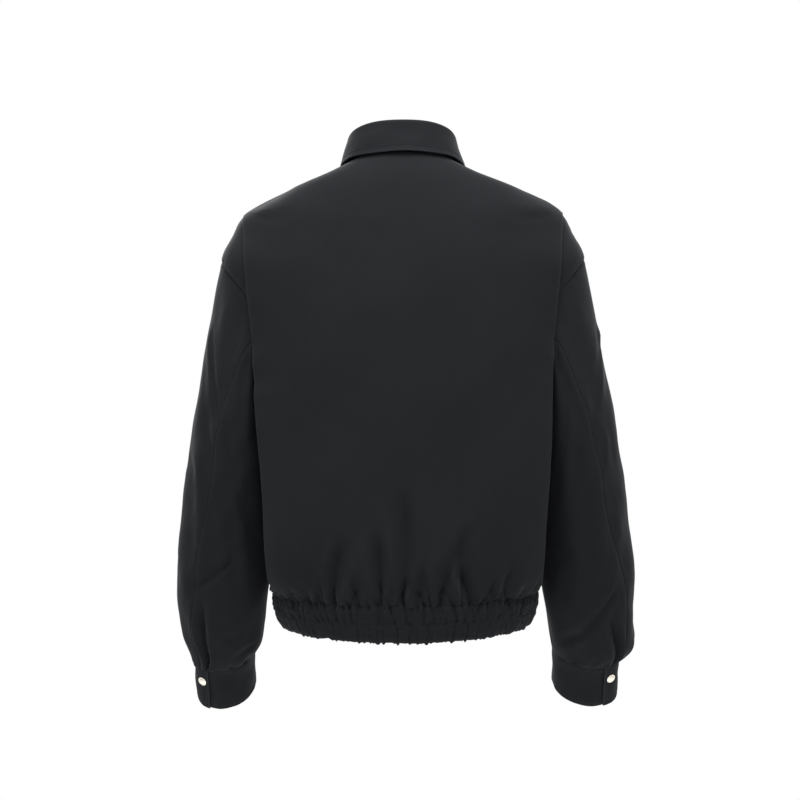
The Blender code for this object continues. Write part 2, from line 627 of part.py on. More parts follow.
def make_pull(hinge, slope, stuff):
    """The pull tab: a plate that hangs by its crossbar, with a window for the bridge. Its origin is the
    hinge, and the empty there is its parent."""
    pivot = bpy.data.objects.new("zip_pull_pivot", None)
    bpy.context.collection.objects.link(pivot)
    pivot.location = hinge
    pivot.rotation_euler = (slope, 0, 0)
    half, thick = PULL_WIDTH / 2, PULL_THICK / 2
    top = PULL_BAR / 2
    pull = box("zip_pull", (-half, top - PULL_LENGTH, -thick), (half, top, thick), stuff, PULL_THICK / 4)
    window = box(
        "pull_window", (-half + PULL_BAR, top - PULL_BAR - PULL_WINDOW, -PULL_THICK),
        (half - PULL_BAR, top - PULL_BAR, PULL_THICK), stuff,
    )
    combine(pull, (window,), "DIFFERENCE")
    for thing in (pull, window):
        thing.parent = pivot


def make_zip(twill, metal):
    rows = zip_rows(ZIP_TOP_ROW)
    near = zip_line(CHAIN_WIDTH / 2 + CLEAR, rows)
    far = zip_line(CHAIN_WIDTH / 2 + CLEAR + TAPE_REACH, rows)
    for side, mirror in (("left", False), ("right", True)):
        zip_strip("zip_tape_" + side, near, far, rows, TAPE_WALL, twill, mirror)
    point, slope = front_frame(SLIDER_ROW)
    next_point, next_slope = front_frame(SLIDER_ROW + 1)
    rows_per_metre = 1 / np.linalg.norm(next_point - point)
    rows = zip_rows(SLIDER_ROW - (SLIDER_TOP - 2 * SLIDER_POST - CLEAR) * rows_per_metre)
    edge = zip_line(CHAIN_WIDTH / 2, rows)
    zip_strip("zip_chain", edge * (-1, 1, 1), edge, rows, CHAIN_DEPTH, metal)
    out = np.array([0, -math.sin(slope), math.cos(slope)])
    hinge = point + out * make_slider(point, slope, metal)
    make_pull(hinge, slope, metal)


# ---- Snaps ----
def make_snap(side, stuff, sign):
    """A low round cap on the strap of the cuff: a straight rim and a domed top, turned about its axis."""
    turn, down = np.array(SNAP_TURN), np.array(SNAP_DOWN)
    point = cuff(turn + 2 * math.pi, down)
    normal = outward(cuff, turn + 2 * math.pi, down)
    base = point + normal * (DOUBLE / 2 + CLEAR)
    flat = np.cross(normal, (0, 0, 1))
    flat = flat / np.linalg.norm(flat)
    upright = np.cross(normal, flat)
    lifts = np.linspace(0, math.pi / 2, 4)
    profile = [(1.0, 0.0)]
    profile += [(math.cos(lift), SNAP_RIM + (SNAP_HEIGHT - SNAP_RIM) * math.sin(lift)) for lift in lifts[:-1]]
    work = bmesh.new()
    loops = []
    for reach, height in profile:
        loop = []
        for step in range(SNAP_SIDES):
            around = 2 * math.pi * step / SNAP_SIDES
            spoke = flat * math.cos(around) + upright * math.sin(around)
            spot = base + spoke * reach * SNAP_RADIUS + normal * height
            loop.append(work.verts.new(spot * (sign, 1, 1)))
        loops.append(loop)
    peak = work.verts.new((base + normal * SNAP_HEIGHT) * (sign, 1, 1))
    for low, high in zip(loops, loops[1:]):
        for i in range(SNAP_SIDES):
            work.faces.new([low[i - 1], low[i], high[i], high[i - 1]])
    for i in range(SNAP_SIDES):
        work.faces.new([loops[-1][i - 1], loops[-1][i], peak])
    work.faces.new(loops[0][::-1])
    return add_object("snap_" + side, work, stuff)


# ---- Build ----
def main():
    for thing in list(bpy.data.objects):
        bpy.data.objects.remove(thing)
    twill = material("cotton_twill", (0.017, 0.018, 0.020), 0.9)
    black_metal = material("black_metal", (0.02, 0.02, 0.022), 0.4, 1.0)
    pale_metal = material("pale_metal", (0.62, 0.58, 0.50), 0.3, 1.0)
    make_back(twill)
    for side, mirror in (("left", False), ("right", True)):
        make_side_back("side_back_" + side, twill, mirror)
        make_front("front_" + side, twill, mirror)
        make_sleeve(side, twill, mirror)
        make_cuff(side, twill, mirror)
        make_snap(side, pale_metal, -1 if mirror else 1)
    make_waistband(twill)
    make_collar(twill)
    make_zip(twill, black_metal)


main()
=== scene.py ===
"""Black cotton bomber jacket, filled out as if worn: its cloth, seams, stitching, zip and snaps.

Metres, +Z up. The front faces -Y, the wearer's left is +X and the origin is the middle of the neck. Each cut
piece of cloth is a grid of points on the surface of its CAD solid, moved along its normal by folds, seams
and gathers, and given a thin wall. Coordinates in the tables of folds are in millimetres.
"""

import math

import bpy
import numpy as np
from bpy.props import FloatProperty, FloatVectorProperty, PointerProperty
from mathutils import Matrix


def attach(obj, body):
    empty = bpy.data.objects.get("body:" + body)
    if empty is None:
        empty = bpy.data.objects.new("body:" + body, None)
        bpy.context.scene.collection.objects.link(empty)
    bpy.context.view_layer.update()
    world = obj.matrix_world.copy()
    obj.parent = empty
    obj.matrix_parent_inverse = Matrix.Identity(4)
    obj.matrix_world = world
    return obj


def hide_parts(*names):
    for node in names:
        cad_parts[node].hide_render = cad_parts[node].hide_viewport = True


bl_info = {
    "name": "Bomber Jacket",
    "version": (1, 0, 0),
    "blender": (4, 5, 0),
    "location": "View3D > Sidebar > Jacket",
    "description": "Makes the cloth, sewing and metal of a cotton bomber jacket on its packed frame",
    "category": "Add Mesh",
}

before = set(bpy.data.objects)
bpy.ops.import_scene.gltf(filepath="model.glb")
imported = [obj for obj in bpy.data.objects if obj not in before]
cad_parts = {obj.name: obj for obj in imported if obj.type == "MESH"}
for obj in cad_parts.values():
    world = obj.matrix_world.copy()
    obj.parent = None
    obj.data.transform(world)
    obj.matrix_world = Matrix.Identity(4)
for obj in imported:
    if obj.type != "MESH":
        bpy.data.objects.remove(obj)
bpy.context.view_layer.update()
MM = 0.001
SIDES = {1: "left", -1: "right"}  # the wearer's sides, by the sign of x
MIRROR = np.array([-1, 1, 1])

# ---- The jacket's form, as its CAD solids have it ----
# Body: one row for each section, from the neck seam down to the waistband.
TORSO_COLUMNS = (
    "half_width", "back", "front", "z_side", "z_back", "z_front", "square", "arm_room", "pleat_edge",
    "layer",
)
TORSO = np.array([
    (0.0660, 0.058, 0.081, 0.000, 0.022, -0.070, 2.10, 0.000, 0.2060, 0),  # neck seam
    (0.1100, 0.076, 0.096, -0.0195, 0.001, -0.088, 2.20, 0.000, 0.2060, 0),
    (0.1550, 0.092, 0.109, -0.036, -0.027, -0.107, 2.35, 0.000, 0.2060, 0),  # middle of the shoulder
    (0.2060, 0.106, 0.120, -0.064, -0.066, -0.130, 2.50, 0.000, 0.2060, 1),  # shoulder corner
    (0.2210, 0.114, 0.128, -0.093, -0.101, -0.149, 2.60, 0.000, 0.2030, 1),
    (0.2340, 0.120, 0.132, -0.124, -0.134, -0.169, 2.70, 0.000, 0.2005, 1),  # top of the armhole
    (0.2280, 0.125, 0.134, -0.165, -0.172, -0.195, 2.80, 0.010, 0.1965, 1),
    (0.2200, 0.128, 0.134, -0.207, -0.210, -0.225, 2.90, 0.022, 0.1930, 1),
    (0.2135, 0.130, 0.134, -0.250, -0.250, -0.257, 3.00, 0.033, 0.1910, 1),
    (0.2105, 0.131, 0.133, -0.293, -0.293, -0.295, 3.00, 0.036, 0.1890, 1),  # armpit
    (0.2085, 0.131, 0.132, -0.340, -0.340, -0.340, 3.00, 0.042, 0.1865, 1),
    (0.2055, 0.131, 0.131, -0.390, -0.390, -0.390, 3.00, 0.041, 0.1835, 1),
    (0.2020, 0.130, 0.130, -0.440, -0.440, -0.440, 3.00, 0.036, 0.1805, 1),
    (0.1980, 0.129, 0.129, -0.485, -0.487, -0.487, 3.00, 0.029, 0.1780, 1),
    (0.1920, 0.127, 0.127, -0.518, -0.524, -0.524, 2.95, 0.019, 0.1750, 1),
    (0.1830, 0.121, 0.121, -0.541, -0.549, -0.549, 2.85, 0.008, 0.1725, 1),
    (0.1700, 0.109, 0.110, -0.553, -0.563, -0.563, 2.70, 0.000, 0.1680, 1),  # top of the waistband
])
SIDE_BACK_TOP = 2.8  # row where the cloth under the pleat starts, a little above the shoulder's corner
ARMHOLE_TOP_ROW = 5
ARMPIT_ROW = 9
HEM_ROW = 16
LAYER_DROP = 0.0040  # the cloth under the pleat lies so much lower
PRESSED_LAYERS = 0.5  # share of that drop at the shoulder's corner and the hem, where the pleat is sewn flat
PLEAT_OPENS = (3.0, 0.8)  # row below which the pleat comes free, and over how many rows
PLEAT_CLOSES = (0.2, 1.2)  # rows above the hem where it is held again, and over how many rows
PLEAT_FADE = 0.020  # width beyond the pleat's edge over which the drop fades out
SHOULDER_FADE = math.radians(25)  # and so far round to the front
ARM_ROOM_ANGLE = math.radians(52)  # the body gives way to the arm so far to both sides
ARMHOLE_BACK = math.radians(38)  # how far the armhole reaches round to the back
ARMHOLE_FRONT = math.radians(40)  # and to the front
ARMHOLE_OVAL = 2.5  # power of the oval's curve
SEAM = 0.0004  # space between two pieces at a seam

# Sleeve: one row for each ring, from the armhole down to the cuff.
SLEEVE_COLUMNS = (
    "outer_x", "outer_z", "inner_x", "inner_z", "y", "depth", "lean", "bow", "square", "seam_left",
    "seam_right",
)
SLEEVE = np.array([
    (0.2340, -0.124, 0.1748, -0.2925, 0.000, 0.0860, 0, 0.026, 2.4, 108, 108),  # armhole
    (0.2400, -0.150, 0.1800, -0.2960, 0.000, 0.0825, 0, 0.022, 2.3, 96, 96),
    (0.2465, -0.184, 0.1805, -0.3050, -0.001, 0.0805, 0, 0.017, 2.3, 87, 88),
    (0.2545, -0.228, 0.1785, -0.3200, -0.002, 0.0795, 0, 0.011, 2.2, 80, 82),
    (0.2630, -0.273, 0.1760, -0.3420, -0.004, 0.0790, 1, 0.006, 2.2, 74, 76),
    (0.2715, -0.320, 0.1745, -0.3700, -0.007, 0.0780, 2, 0.002, 2.2, 71, 71),
    (0.2805, -0.375, 0.1740, -0.4050, -0.012, 0.0765, 5, 0.000, 2.2, 72, 67),
    (0.2880, -0.430, 0.1740, -0.4450, -0.020, 0.0740, 8, 0.000, 2.2, 66, 63),
    (0.2950, -0.483, 0.1755, -0.4870, -0.030, 0.0710, 11, 0.000, 2.2, 60, 55),
    (0.3000, -0.533, 0.1790, -0.5300, -0.041, 0.0680, 14, 0.000, 2.2, 57, 44),
    (0.3005, -0.572, 0.1825, -0.5640, -0.050, 0.0620, 18, 0.000, 2.3, 54, 41),
    (0.2990, -0.602, 0.1860, -0.5930, -0.057, 0.0540, 23, 0.000, 2.3, 50, 42),
    (0.2930, -0.628, 0.1905, -0.6170, -0.063, 0.0450, 28, 0.000, 2.4, 47, 45),
    (0.2790, -0.6455, 0.1955, -0.6323, -0.069, 0.0345, 32, 0.000, 2.5, 46, 46),  # cuff seam
])
CUFF_RING = 13  # number of the ring at the cuff's seam
ARMHOLE_FADE = 4.0  # rings over which the armhole's shape fades out of the sleeve
UNDER_SEAM = math.radians(216)  # the seam at the inside of the arm
SLEEVE_SEAM = 0.0005  # half the space between the two halves of a sleeve
# How far the outer and the inner point of the last four rings lie from the table's own, for each side.
SLEEVE_ENDS = {
    1: ((0, 0), (-0.003, 0), (-0.0085, 0.001), (0.0014, 0.0066)),
    -1: ((0, 0), (0.002, 0), (0.0070, 0), (0.0040, 0)),
}

# Cuff, waistband, collar and zip.
CUFF_HEIGHT = 0.0600
CUFF_SLACK = 0.0005  # the cuff is so much narrower than the sleeve's last ring
CUFF_DEPTH = 0.0690
CUFF_SQUARE = 2.5
CUFF_LEAN = math.radians(32)  # forward, with the forearm
CUFF_TILT = math.radians(9)  # its outer side lies lower
CUFF_OVERLAP = math.radians(34)
CUFF_END = math.radians(60)  # where the strap's end lies
CUFF_TUCK = math.radians(26)  # over so far the cloth goes down under the strap
CUFF_SEAM_GAP = 0.0013
SNAP_TURN = math.radians(48)
SNAP_DOWN = 0.30  # share of the cuff's height
CUFF_SWING = 0.0040  # the cuff's edge hangs so much lower behind than at its sides
BAND_BOTTOM = dict(
    half_width=0.1600, back=0.106, front=0.107, z_side=-0.594, z_back=-0.610, z_front=-0.608, square=2.6
)
BAND_HEIGHT = 0.046
BAND_SEAM_GAP = 0.0012
BAND_BULGE = 0.0035  # the band is so much fuller along its middle
HEM_FULLNESS = 0.0085  # the cloth stands out so far at the waistband's seam
CUFF_FULLNESS = 0.0030  # and at the cuff's seam
COLLAR_COLUMNS = ("fold_x", "fold_y", "fold_z", "edge_angle", "row_down", "lift")
COLLAR = np.array([
    (-0.0350, 0.0560, 0.0462, 118, 0.66, 0.0056),  # the next row's neighbour on the wearer's right
    (0.0000, 0.0640, 0.0480, 90, 0.72, 0.0062),  # centre back
    (0.0350, 0.0560, 0.0462, 62, 0.66, 0.0056),
    (0.0595, 0.0325, 0.0390, 33, 0.38, 0.0042),
    (0.0676, 0.0000, 0.0255, 2, 0.30, 0.0028),  # shoulder seam
    (0.0600, -0.0410, 0.0030, -27, 0.45, 0.0026),
    (0.0360, -0.0700, -0.0250, -53, 1.35, 0.0024),
    (0.0056, -0.0850, -0.0520, -73, 2.30, 0.0024),  # front edge and the point of the collar
])
COLLAR_FOLD_RADIUS = 0.0028
COLLAR_SEAM_GAP = 0.0011
COLLAR_BEND = 0.1  # share of the stand, and of the fall, that the fold takes up
ZIP_GAP = 0.0052  # from the middle of the zip to each front's edge
TAPE_REACH = 0.0157  # width of a tape
TAPE_NEAR = 0.0021  # from the middle of the zip to the tape
TAPE_SINK = 0.0016  # depth of the tape below the middle of the fronts' cloth
BAND_SINK = 0.0033  # and below the waistband's
ZIP_TOP_ROW = 0.05
ZIP_BAND_ROW = 15.0  # below this row the zip goes from the one depth to the other
ZIP_HEM_ROW = 15.9
CHAIN_TOP_ROW = 0.78
ZIP_ROWS = 221  # points along the zip on the fronts
ZIP_DOWNS = np.linspace(0.1, 0.99, 20)  # and on the waistband, as shares of its height

# ---- Cloth ----
CLOTH = 1.0 * MM  # one layer of twill
DOUBLE = 2.2 * MM  # two layers, as in the collar and the cuffs
BAND_WALL = 2.8 * MM  # two layers and the elastic between them
TAPE = 0.9 * MM
NUDGE = 1e-4  # step for measuring the slope of a surface
FINE = 400  # samples along a line whose length is measured

# An edge: distances from it, where the grid has its lines, and how far the cloth has dropped there, in
# millimetres.
RAW_EDGE = ((0, 0), (0.5, 0), (1.2, 0), (2.5, 0))
HIDDEN_EDGE = ((0, 0), (1.5, 0))
STITCHED_EDGE = ((0, 0), (0.5, 0), (1.2, 0), (2.4, 0), (3.6, 0), (4.4, 0), (5.0, 0), (5.6, 0), (6.6, 0))
STITCH_INSET = 5.0 * MM
STITCH_LINE = [distance for distance, _ in STITCHED_EDGE].index(STITCH_INSET / MM)
SEWN_EDGE_STEPS = 4  # so many lines along a sewn edge turn in with it
TURNED_EDGE = ((0, 1.9), (0, 0.7), (0.2, 0.22), (0.6, 0.05), (1.5, 0), (3.2, 0))
GATHERED_EDGE = ((0, 0.75), (0, 0.25), (0.3, 0.06), (0.9, 0.0), (1.8, 0), (3.2, 0))
EDGE_INSET = 0.1  # share of the thickness by which an edge's last line stays behind its seam
SEAM_CALM = 18 * MM  # free folds fade out so far from the shoulder's and the side's seam
ARMHOLE_CALM = 16 * MM  # and from the armhole's on the fronts
BACK_CALM = (0.2, 2.0)  # they come in below this row of the back, over so many rows
FRONT_CALM = (0.4, 3.0)  # and of the fronts
ZIP_CALM = (8 * MM, 20 * MM)  # flat beside the zip, and the width over which the folds come in
HEM_HOLD = 0.6  # share of a fold's depth that is left where the waistband holds it
ACROSS = 0.47  # the points lie so much closer across the body than down it
SLEEVE_ACROSS = 0.72  # and round a sleeve
HOLE_LINES = 93  # lines of the grid along half of the armhole
SMALL_WAVES = 0.12  # height of the small waves in free cloth as a share of the broad ones'
RUBBED = 1.6 * MM  # width of the paler line along an edge

# Folds, in millimetres: where a fold starts and where it ends, how far its middle bows to the side, its half
# width at its start and its end, its height (a trough is below 0), and the shares of its length over which
# it grows and fades. On the body the first two numbers of a point are x and the depth below the neck.
BACK_FOLDS = (
    (90, 567, 75, 471, -5, 3.6, 8.1, -10.1, 0.05, 0.42),
    (31, 567, 37, 463, 3, 3.4, 7.5, -10.9, 0.05, 0.42),
    (4, 567, 5, 407, 6, 3.6, 9.2, -9.8, 0.05, 0.42),
    (129, 574, 149, 539, 0, 3.4, 5.2, -5.8, 0.1, 0.42),
    (110, 574, 110, 540, 0, 3.1, 5.2, -4.8, 0.1, 0.42),
    (-37, 570, -61, 482, 5, 3.6, 7.5, -9.2, 0.05, 0.42),
    (-45, 568, -45, 536, 0, 2.9, 4.6, -5.2, 0.1, 0.42),
    (-79, 569, -70, 509, -4, 3.6, 5.8, -7.4, 0.05, 0.42),
    (-88, 573, -79, 455, -13, 3.6, 7.5, -9.2, 0.05, 0.42),
    (-125, 572, -140, 506, -5, 3.4, 6.3, -7, 0.05, 0.42),
    (-138, 567, -153, 538, 0, 2.9, 4.6, -4.8, 0.1, 0.42),
    (-14, 567, -21, 510, 3, 2.9, 5.8, -5.8, 0.05, 0.42),
    (58, 568, 63, 519, -3, 2.9, 5.8, -5.8, 0.05, 0.42),
    (14, 470, 20, 170, 8, 20, 40, -2.6, 0.35, 0.5),
    (-52, 500, -64, 250, -6, 16, 34, -1.8, 0.35, 0.5),
    (86, 480, 96, 230, 8, 18, 36, -1.6, 0.35, 0.5),
    (11, 562, -11, 524, 0, 2.2, 3.4, -3.6, 0.1, 0.35),
    (-4, 567, 6, 543, 0, 2, 3, -3.4, 0.1, 0.35),
    (-49, 568, -54, 549, 0, 2.2, 3.2, -3.8, 0.1, 0.4),
    (-147, 566, -157, 546, 0, 2.2, 3.4, -3.6, 0.1, 0.4),
    (-110, 568, -123, 552, 0, 2.2, 3.4, -3.2, 0.1, 0.4),
    (146, 573, 158, 548, 1, 2.4, 3.8, -4.4, 0.1, 0.4),
    (134, 574, 128, 547, 0, 2.2, 3.4, -3.6, 0.1, 0.4),
    (120, 574, 125, 534, 2, 2.4, 4, -4.2, 0.1, 0.4),
    (99, 573, 112, 528, 3, 2.6, 4.4, -4.8, 0.08, 0.4),
    (70, 568, 55, 539, -2, 2.2, 3.6, -4.2, 0.1, 0.4),
    (17, 567, 34, 534, -2, 2.2, 3.4, -4.2, 0.1, 0.4),
    (-25, 567, -8, 538, 2, 2.2, 3.4, -3.8, 0.1, 0.4),
    (-63, 568, -46, 543, 1, 2.2, 3.4, -4.2, 0.1, 0.4),
    (-98, 570, -113, 538, 2, 2.4, 3.8, -4.4, 0.1, 0.4),
    (-134, 570, -121, 545, 1, 2.2, 3.4, -4, 0.1, 0.4),
    (192, 66, 124, 52, 2, 4, 8, 2.6, 0.25, 0.6),
    (-192, 68, -118, 56, -2, 4, 8, 2.4, 0.25, 0.6),
    (222, 262, 182, 214, 4, 6, 11, -2.6, 0.15, 0.6),
    (-220, 258, -180, 206, -4, 6, 11, -2.4, 0.15, 0.6),
    (214, 288, 160, 262, 5, 6, 12, -2, 0.15, 0.65),
)
FRONT_FOLDS = (
    (27, 567, 22, 449, 4, 3.6, 8.1, -7.4, 0.05, 0.42),
    (60, 568, 72, 490, -4, 3.4, 6.9, -6.4, 0.05, 0.42),
    (97, 569, 89, 438, 6, 3.6, 8.6, -8.1, 0.05, 0.42),
    (132, 571, 143, 509, 2, 3.4, 6.3, -5.6, 0.05, 0.42),
    (-23, 567, -31, 482, 3, 3.4, 6.9, -6, 0.05, 0.42),
    (-52, 568, -45, 422, -6, 3.6, 9.2, -8.4, 0.05, 0.42),
    (-84, 569, -97, 500, 4, 3.4, 6.3, -6, 0.05, 0.42),
    (-116, 571, -107, 453, -6, 3.6, 8.1, -7.4, 0.05, 0.42),
    (-146, 569, -155, 531, 0, 3.1, 5.2, -4.6, 0.1, 0.42),
    (190, 278, 106, 226, 8, 6, 14, -3, 0.12, 0.6),
    (-191, 276, -112, 234, -7, 6, 13, -3.2, 0.12, 0.6),
    (188, 340, 120, 332, 6, 6, 12, -2.4, 0.15, 0.6),
    (-188, 336, -126, 340, -6, 6, 12, -2.2, 0.15, 0.6),
    (60, 470, 74, 210, 9, 18, 36, -2.2, 0.35, 0.5),
    (-66, 480, -80, 230, -8, 18, 34, -2, 0.35, 0.5),
)
# On the sleeves a point is the distance round from the middle of the back, outward below 0, and the
# distance down the back.
SLEEVE_ARC = 1.3  # distance round a sleeve for each degree
SLEEVE_HELD = 26  # the folds come in over so much below the armhole
SLEEVE_CALM = (486, 10)  # and are gone at this distance down, over so much above it
SLEEVE_EASED = (478, 14)  # the small gathers start there, and fade upward over so much
SLEEVE_FOLDS = {
    1: (
        (-94, 50, 43, 292, 8, 5, 8, 3.4, 0.12, 0.3),
        (-76, 70, 58, 300, 8, 9, 14, -2.6, 0.15, 0.35),
        (20, 312, -58, 358, 3, 4, 6.5, -5, 0.12, 0.45),
        (-38, 482, -30, 352, -5, 4.4, 7, -10, 0.04, 0.45),
        (30, 421, 4, 434, 2, 4, 6, -2.2, 0.2, 0.4),
        (66, 450, 10, 462, -3, 4, 6, -2.2, 0.2, 0.4),
        (-104, 196, -50, 214, 4, 6, 9, -2.4, 0.25, 0.4),
        (-70, 150, 6, 196, 5, 8, 13, -1.8, 0.25, 0.4),
        (-198, 232, -272, 254, 4, 5, 8, -4.2, 0.2, 0.35),
        (-188, 262, -276, 270, -3, 5, 9, -4.6, 0.2, 0.35),
        (-204, 292, -266, 284, -3, 5, 8, -4, 0.2, 0.35),
        (-150, 200, -216, 226, 5, 7, 12, -2.8, 0.25, 0.4),
        (-160, 330, -236, 312, -5, 7, 12, -3, 0.25, 0.4),
        (100, 214, 160, 232, -3, 5, 9, -3.2, 0.2, 0.3),
        (104, 244, 164, 256, -3, 5, 9, -3.2, 0.2, 0.3),
        (-142, 482, -150, 396, 4, 4, 8, -4.4, 0.05, 0.5),
        (-196, 482, -190, 412, -4, 4, 7, -4, 0.05, 0.5),
        (-244, 482, -256, 420, 3, 4, 7, -3.4, 0.05, 0.5),
        (-120, 40, -170, 130, 6, 8, 14, -2.6, 0.2, 0.5),
        (-230, 60, -200, 150, -6, 7, 12, -3, 0.15, 0.5),
    ),
    -1: (
        (-107, 56, -50, 142, 6, 5, 8, 3.2, 0.15, 0.4),
        (-96, 66, -36, 150, 6, 8, 12, -2.2, 0.15, 0.45),
        (-54, 158, -42, 214, 2, 4, 6, 1.8, 0.25, 0.4),
        (-60, 172, -66, 330, -5, 14, 24, -2.4, 0.25, 0.4),
        (-44, 354, 72, 454, -12, 4.2, 6.5, -4.2, 0.15, 0.3),
        (-50, 482, -24, 384, 4, 4.4, 8, -9.4, 0.04, 0.45),
        (26, 300, 62, 332, 4, 6, 9, -2, 0.25, 0.45),
        (-196, 226, -270, 250, 4, 5, 8, -4.4, 0.2, 0.35),
        (-206, 254, -280, 266, -3, 5, 9, -4.4, 0.2, 0.35),
        (-190, 286, -262, 280, -3, 5, 8, -4.2, 0.2, 0.35),
        (-140, 206, -212, 222, 5, 7, 12, -3, 0.25, 0.4),
        (-166, 322, -240, 306, -5, 7, 12, -2.8, 0.25, 0.4),
        (98, 204, 160, 226, -3, 5, 9, -3.2, 0.2, 0.3),
        (108, 238, 164, 252, -3, 5, 9, -3, 0.2, 0.3),
        (-136, 482, -146, 402, 4, 4, 8, -4.2, 0.05, 0.5),
        (-188, 482, -196, 408, -4, 4, 7, -4.2, 0.05, 0.5),
        (-238, 482, -248, 424, 3, 4, 7, -3.4, 0.05, 0.5),
        (-126, 46, -174, 126, 6, 8, 14, -2.6, 0.2, 0.5),
        (-226, 58, -204, 146, -6, 7, 12, -3, 0.15, 0.5),
    ),
}


# ---- Settings ----
def linear(code):
    """An sRGB hex colour as linear red, green and blue."""
    value = np.array([int(code[i:i + 2], 16) for i in (1, 3, 5)]) / 255
    return tuple(np.where(value <= 0.04045, value / 12.92, ((value + 0.055) / 1.055) ** 2.4))


class JacketCloth(bpy.types.PropertyGroup):
    """The twill and how it hangs."""

    colour: FloatVectorProperty(
        name="Colour", description="Colour of the dyed cotton", subtype="COLOR", size=3, min=0, max=1,
        default=linear("#121315"),
    )
    twill_pitch: FloatProperty(
        name="Twill pitch", description="Distance between two ribs of the twill", default=2.6 * MM,
        min=0.3 * MM, max=5 * MM, unit="LENGTH",
    )
    mesh_pitch: FloatProperty(
        name="Mesh pitch", description="Distance between the points of the body's cloth", default=3.35 * MM,
        min=1.5 * MM, max=10 * MM, unit="LENGTH",
    )
    fold_depth: FloatProperty(
        name="Fold depth", description="Share of each fold's own depth", default=1.0, min=0, max=1.5,
        subtype="FACTOR",
    )
    drift: FloatProperty(
        name="Drift", description="Height of the broad, slight waves of cloth that hangs free",
        default=1.3 * MM, min=0, max=4 * MM, unit="LENGTH",
    )


class JacketSewing(bpy.types.PropertyGroup):
    """Seams, topstitching and the elastic's gathers."""

    stitch_length: FloatProperty(
        name="Stitch", description="Length of one stitch on the outside", default=2.5 * MM, min=1 * MM,
        max=6 * MM, unit="LENGTH",
    )
    stitch_gap: FloatProperty(
        name="Gap", description="Space between two stitches", default=0.6 * MM, min=0.1 * MM, max=3 * MM,
        unit="LENGTH",
    )
    thread: FloatProperty(
        name="Thread", description="Thickness of the thread", default=0.55 * MM, min=0.2 * MM, max=1.2 * MM,
        unit="LENGTH",
    )
    seam_depth: FloatProperty(
        name="Seam depth", description="How deep a seam lies in the cloth", default=0.9 * MM, min=0,
        max=3 * MM, unit="LENGTH",
    )
    pucker: FloatProperty(
        name="Pucker", description="Height of the small ripples beside a seam", default=0.35 * MM, min=0,
        max=2 * MM, unit="LENGTH",
    )
    gather_depth: FloatProperty(
        name="Gathers", description="Depth of the gathers over the elastic", default=3.2 * MM, min=0,
        max=5 * MM, unit="LENGTH",
    )


class JacketMetal(bpy.types.PropertyGroup):
    """The snaps and the zip."""

    snap_colour: FloatVectorProperty(
        name="Snap", description="Colour of the plated snap caps", subtype="COLOR", size=3, min=0, max=1,
        default=linear("#dad4c8"),
    )
    snap_width: FloatProperty(
        name="Snap width", description="Width of a snap's cap", default=12.5 * MM, min=8 * MM, max=20 * MM,
        unit="LENGTH",
    )
    tooth_pitch: FloatProperty(
        name="Tooth pitch", description="Distance between two teeth of the same side of the zip",
        default=2.4 * MM, min=1.5 * MM, max=4 * MM, unit="LENGTH",
    )


class JacketStage(bpy.types.PropertyGroup):
    """The floor, the surroundings and the lights."""

    surround: FloatProperty(
        name="Surround", description="Brightness of the white surroundings", default=1.0, min=0, max=4,
    )
    key: FloatProperty(
        name="Key light", description="Power that the soft lights share in fixed parts", default=28.0, min=0,
        max=400, subtype="POWER", unit="POWER",
    )
    floor_drop: FloatProperty(
        name="Floor", description="How far the floor lies below the neck", default=1.45, min=0.8, max=3,
        unit="LENGTH",
    )


# ---- Curves and surfaces ----
def rows_at(table, row):
    """A smooth curve through the rows of a table, with row counted in rows: the cubic through each two
    neighbours whose slope at each is half the step between the rows on either side of it."""
    padded = np.vstack([2 * table[0] - table[1], table, 2 * table[-1] - table[-2]])
    row = np.asarray(row, dtype=float)
    start = np.clip(np.floor(row).astype(int), 0, len(table) - 2)
    t = (row - start)[..., None]
    before, here, there, after = (padded[start + i] for i in range(4))
    return 0.5 * (
        2 * here
        + (there - before) * t
        + (2 * before - 5 * here + 4 * there - after) * t**2
        + (3 * here - before - 3 * there + after) * t**3
    )


def reading(table, names, row):
    """The columns of a table by name, at a row that may lie between two of its own."""
    return dict(zip(names, np.moveaxis(rows_at(table, row), -1, 0)))


def torso_at(row):
    """The body's section at a row."""
    return reading(TORSO, TORSO_COLUMNS, row)


def ease(t):
    """0 below 0, 1 above 1, and the smooth step three t squared less two t cubed between."""
    t = np.clip(t, 0, 1)
    return t * t * (3 - 2 * t)


def hump(t):
    """1 at 0 and falling smoothly to nothing on both sides: e to the power of minus t squared."""
    return np.exp(-np.square(t))


def squared(angle, square):
    """A point of the unit superellipse, the sum of whose coordinates to the given power is 1, in the
    direction of an angle."""
    c, s = np.cos(angle), np.sin(angle)
    reach = (np.abs(c) ** square + np.abs(s) ** square) ** (-1 / square)
    return c * reach, s * reach


def section_point(angle, section):
    """A point of a section: its back half and its front half are two superellipses that share their
    width, and its height goes from the side's to the centre's with the square of the sine."""
    x, y = squared(angle, section["square"])
    to_back = y > 0
    depth = np.where(to_back, section["back"], section["front"])
    z_centre = np.where(to_back, section["z_back"], section["z_front"])
    z = section["z_side"] + (z_centre - section["z_side"]) * np.sin(angle) ** 2
    return np.stack([section["half_width"] * x, depth * y, z], axis=-1)


def torso(angle, row):
    """The body as the centre back has it: the section of that row, at an angle that is 0 at the side, 90
    degrees at the centre back and -90 at the centre front."""
    return section_point(angle, torso_at(row))


def outward(surface, u, v):
    """Unit normals of a surface of two parameters: the cross product of its two slopes."""
    along_u = surface(u + NUDGE, v) - surface(u - NUDGE, v)
    along_v = surface(u, v + NUDGE) - surface(u, v - NUDGE)
    normal = np.cross(along_v, along_u)
    return normal / np.linalg.norm(normal, axis=-1, keepdims=True)


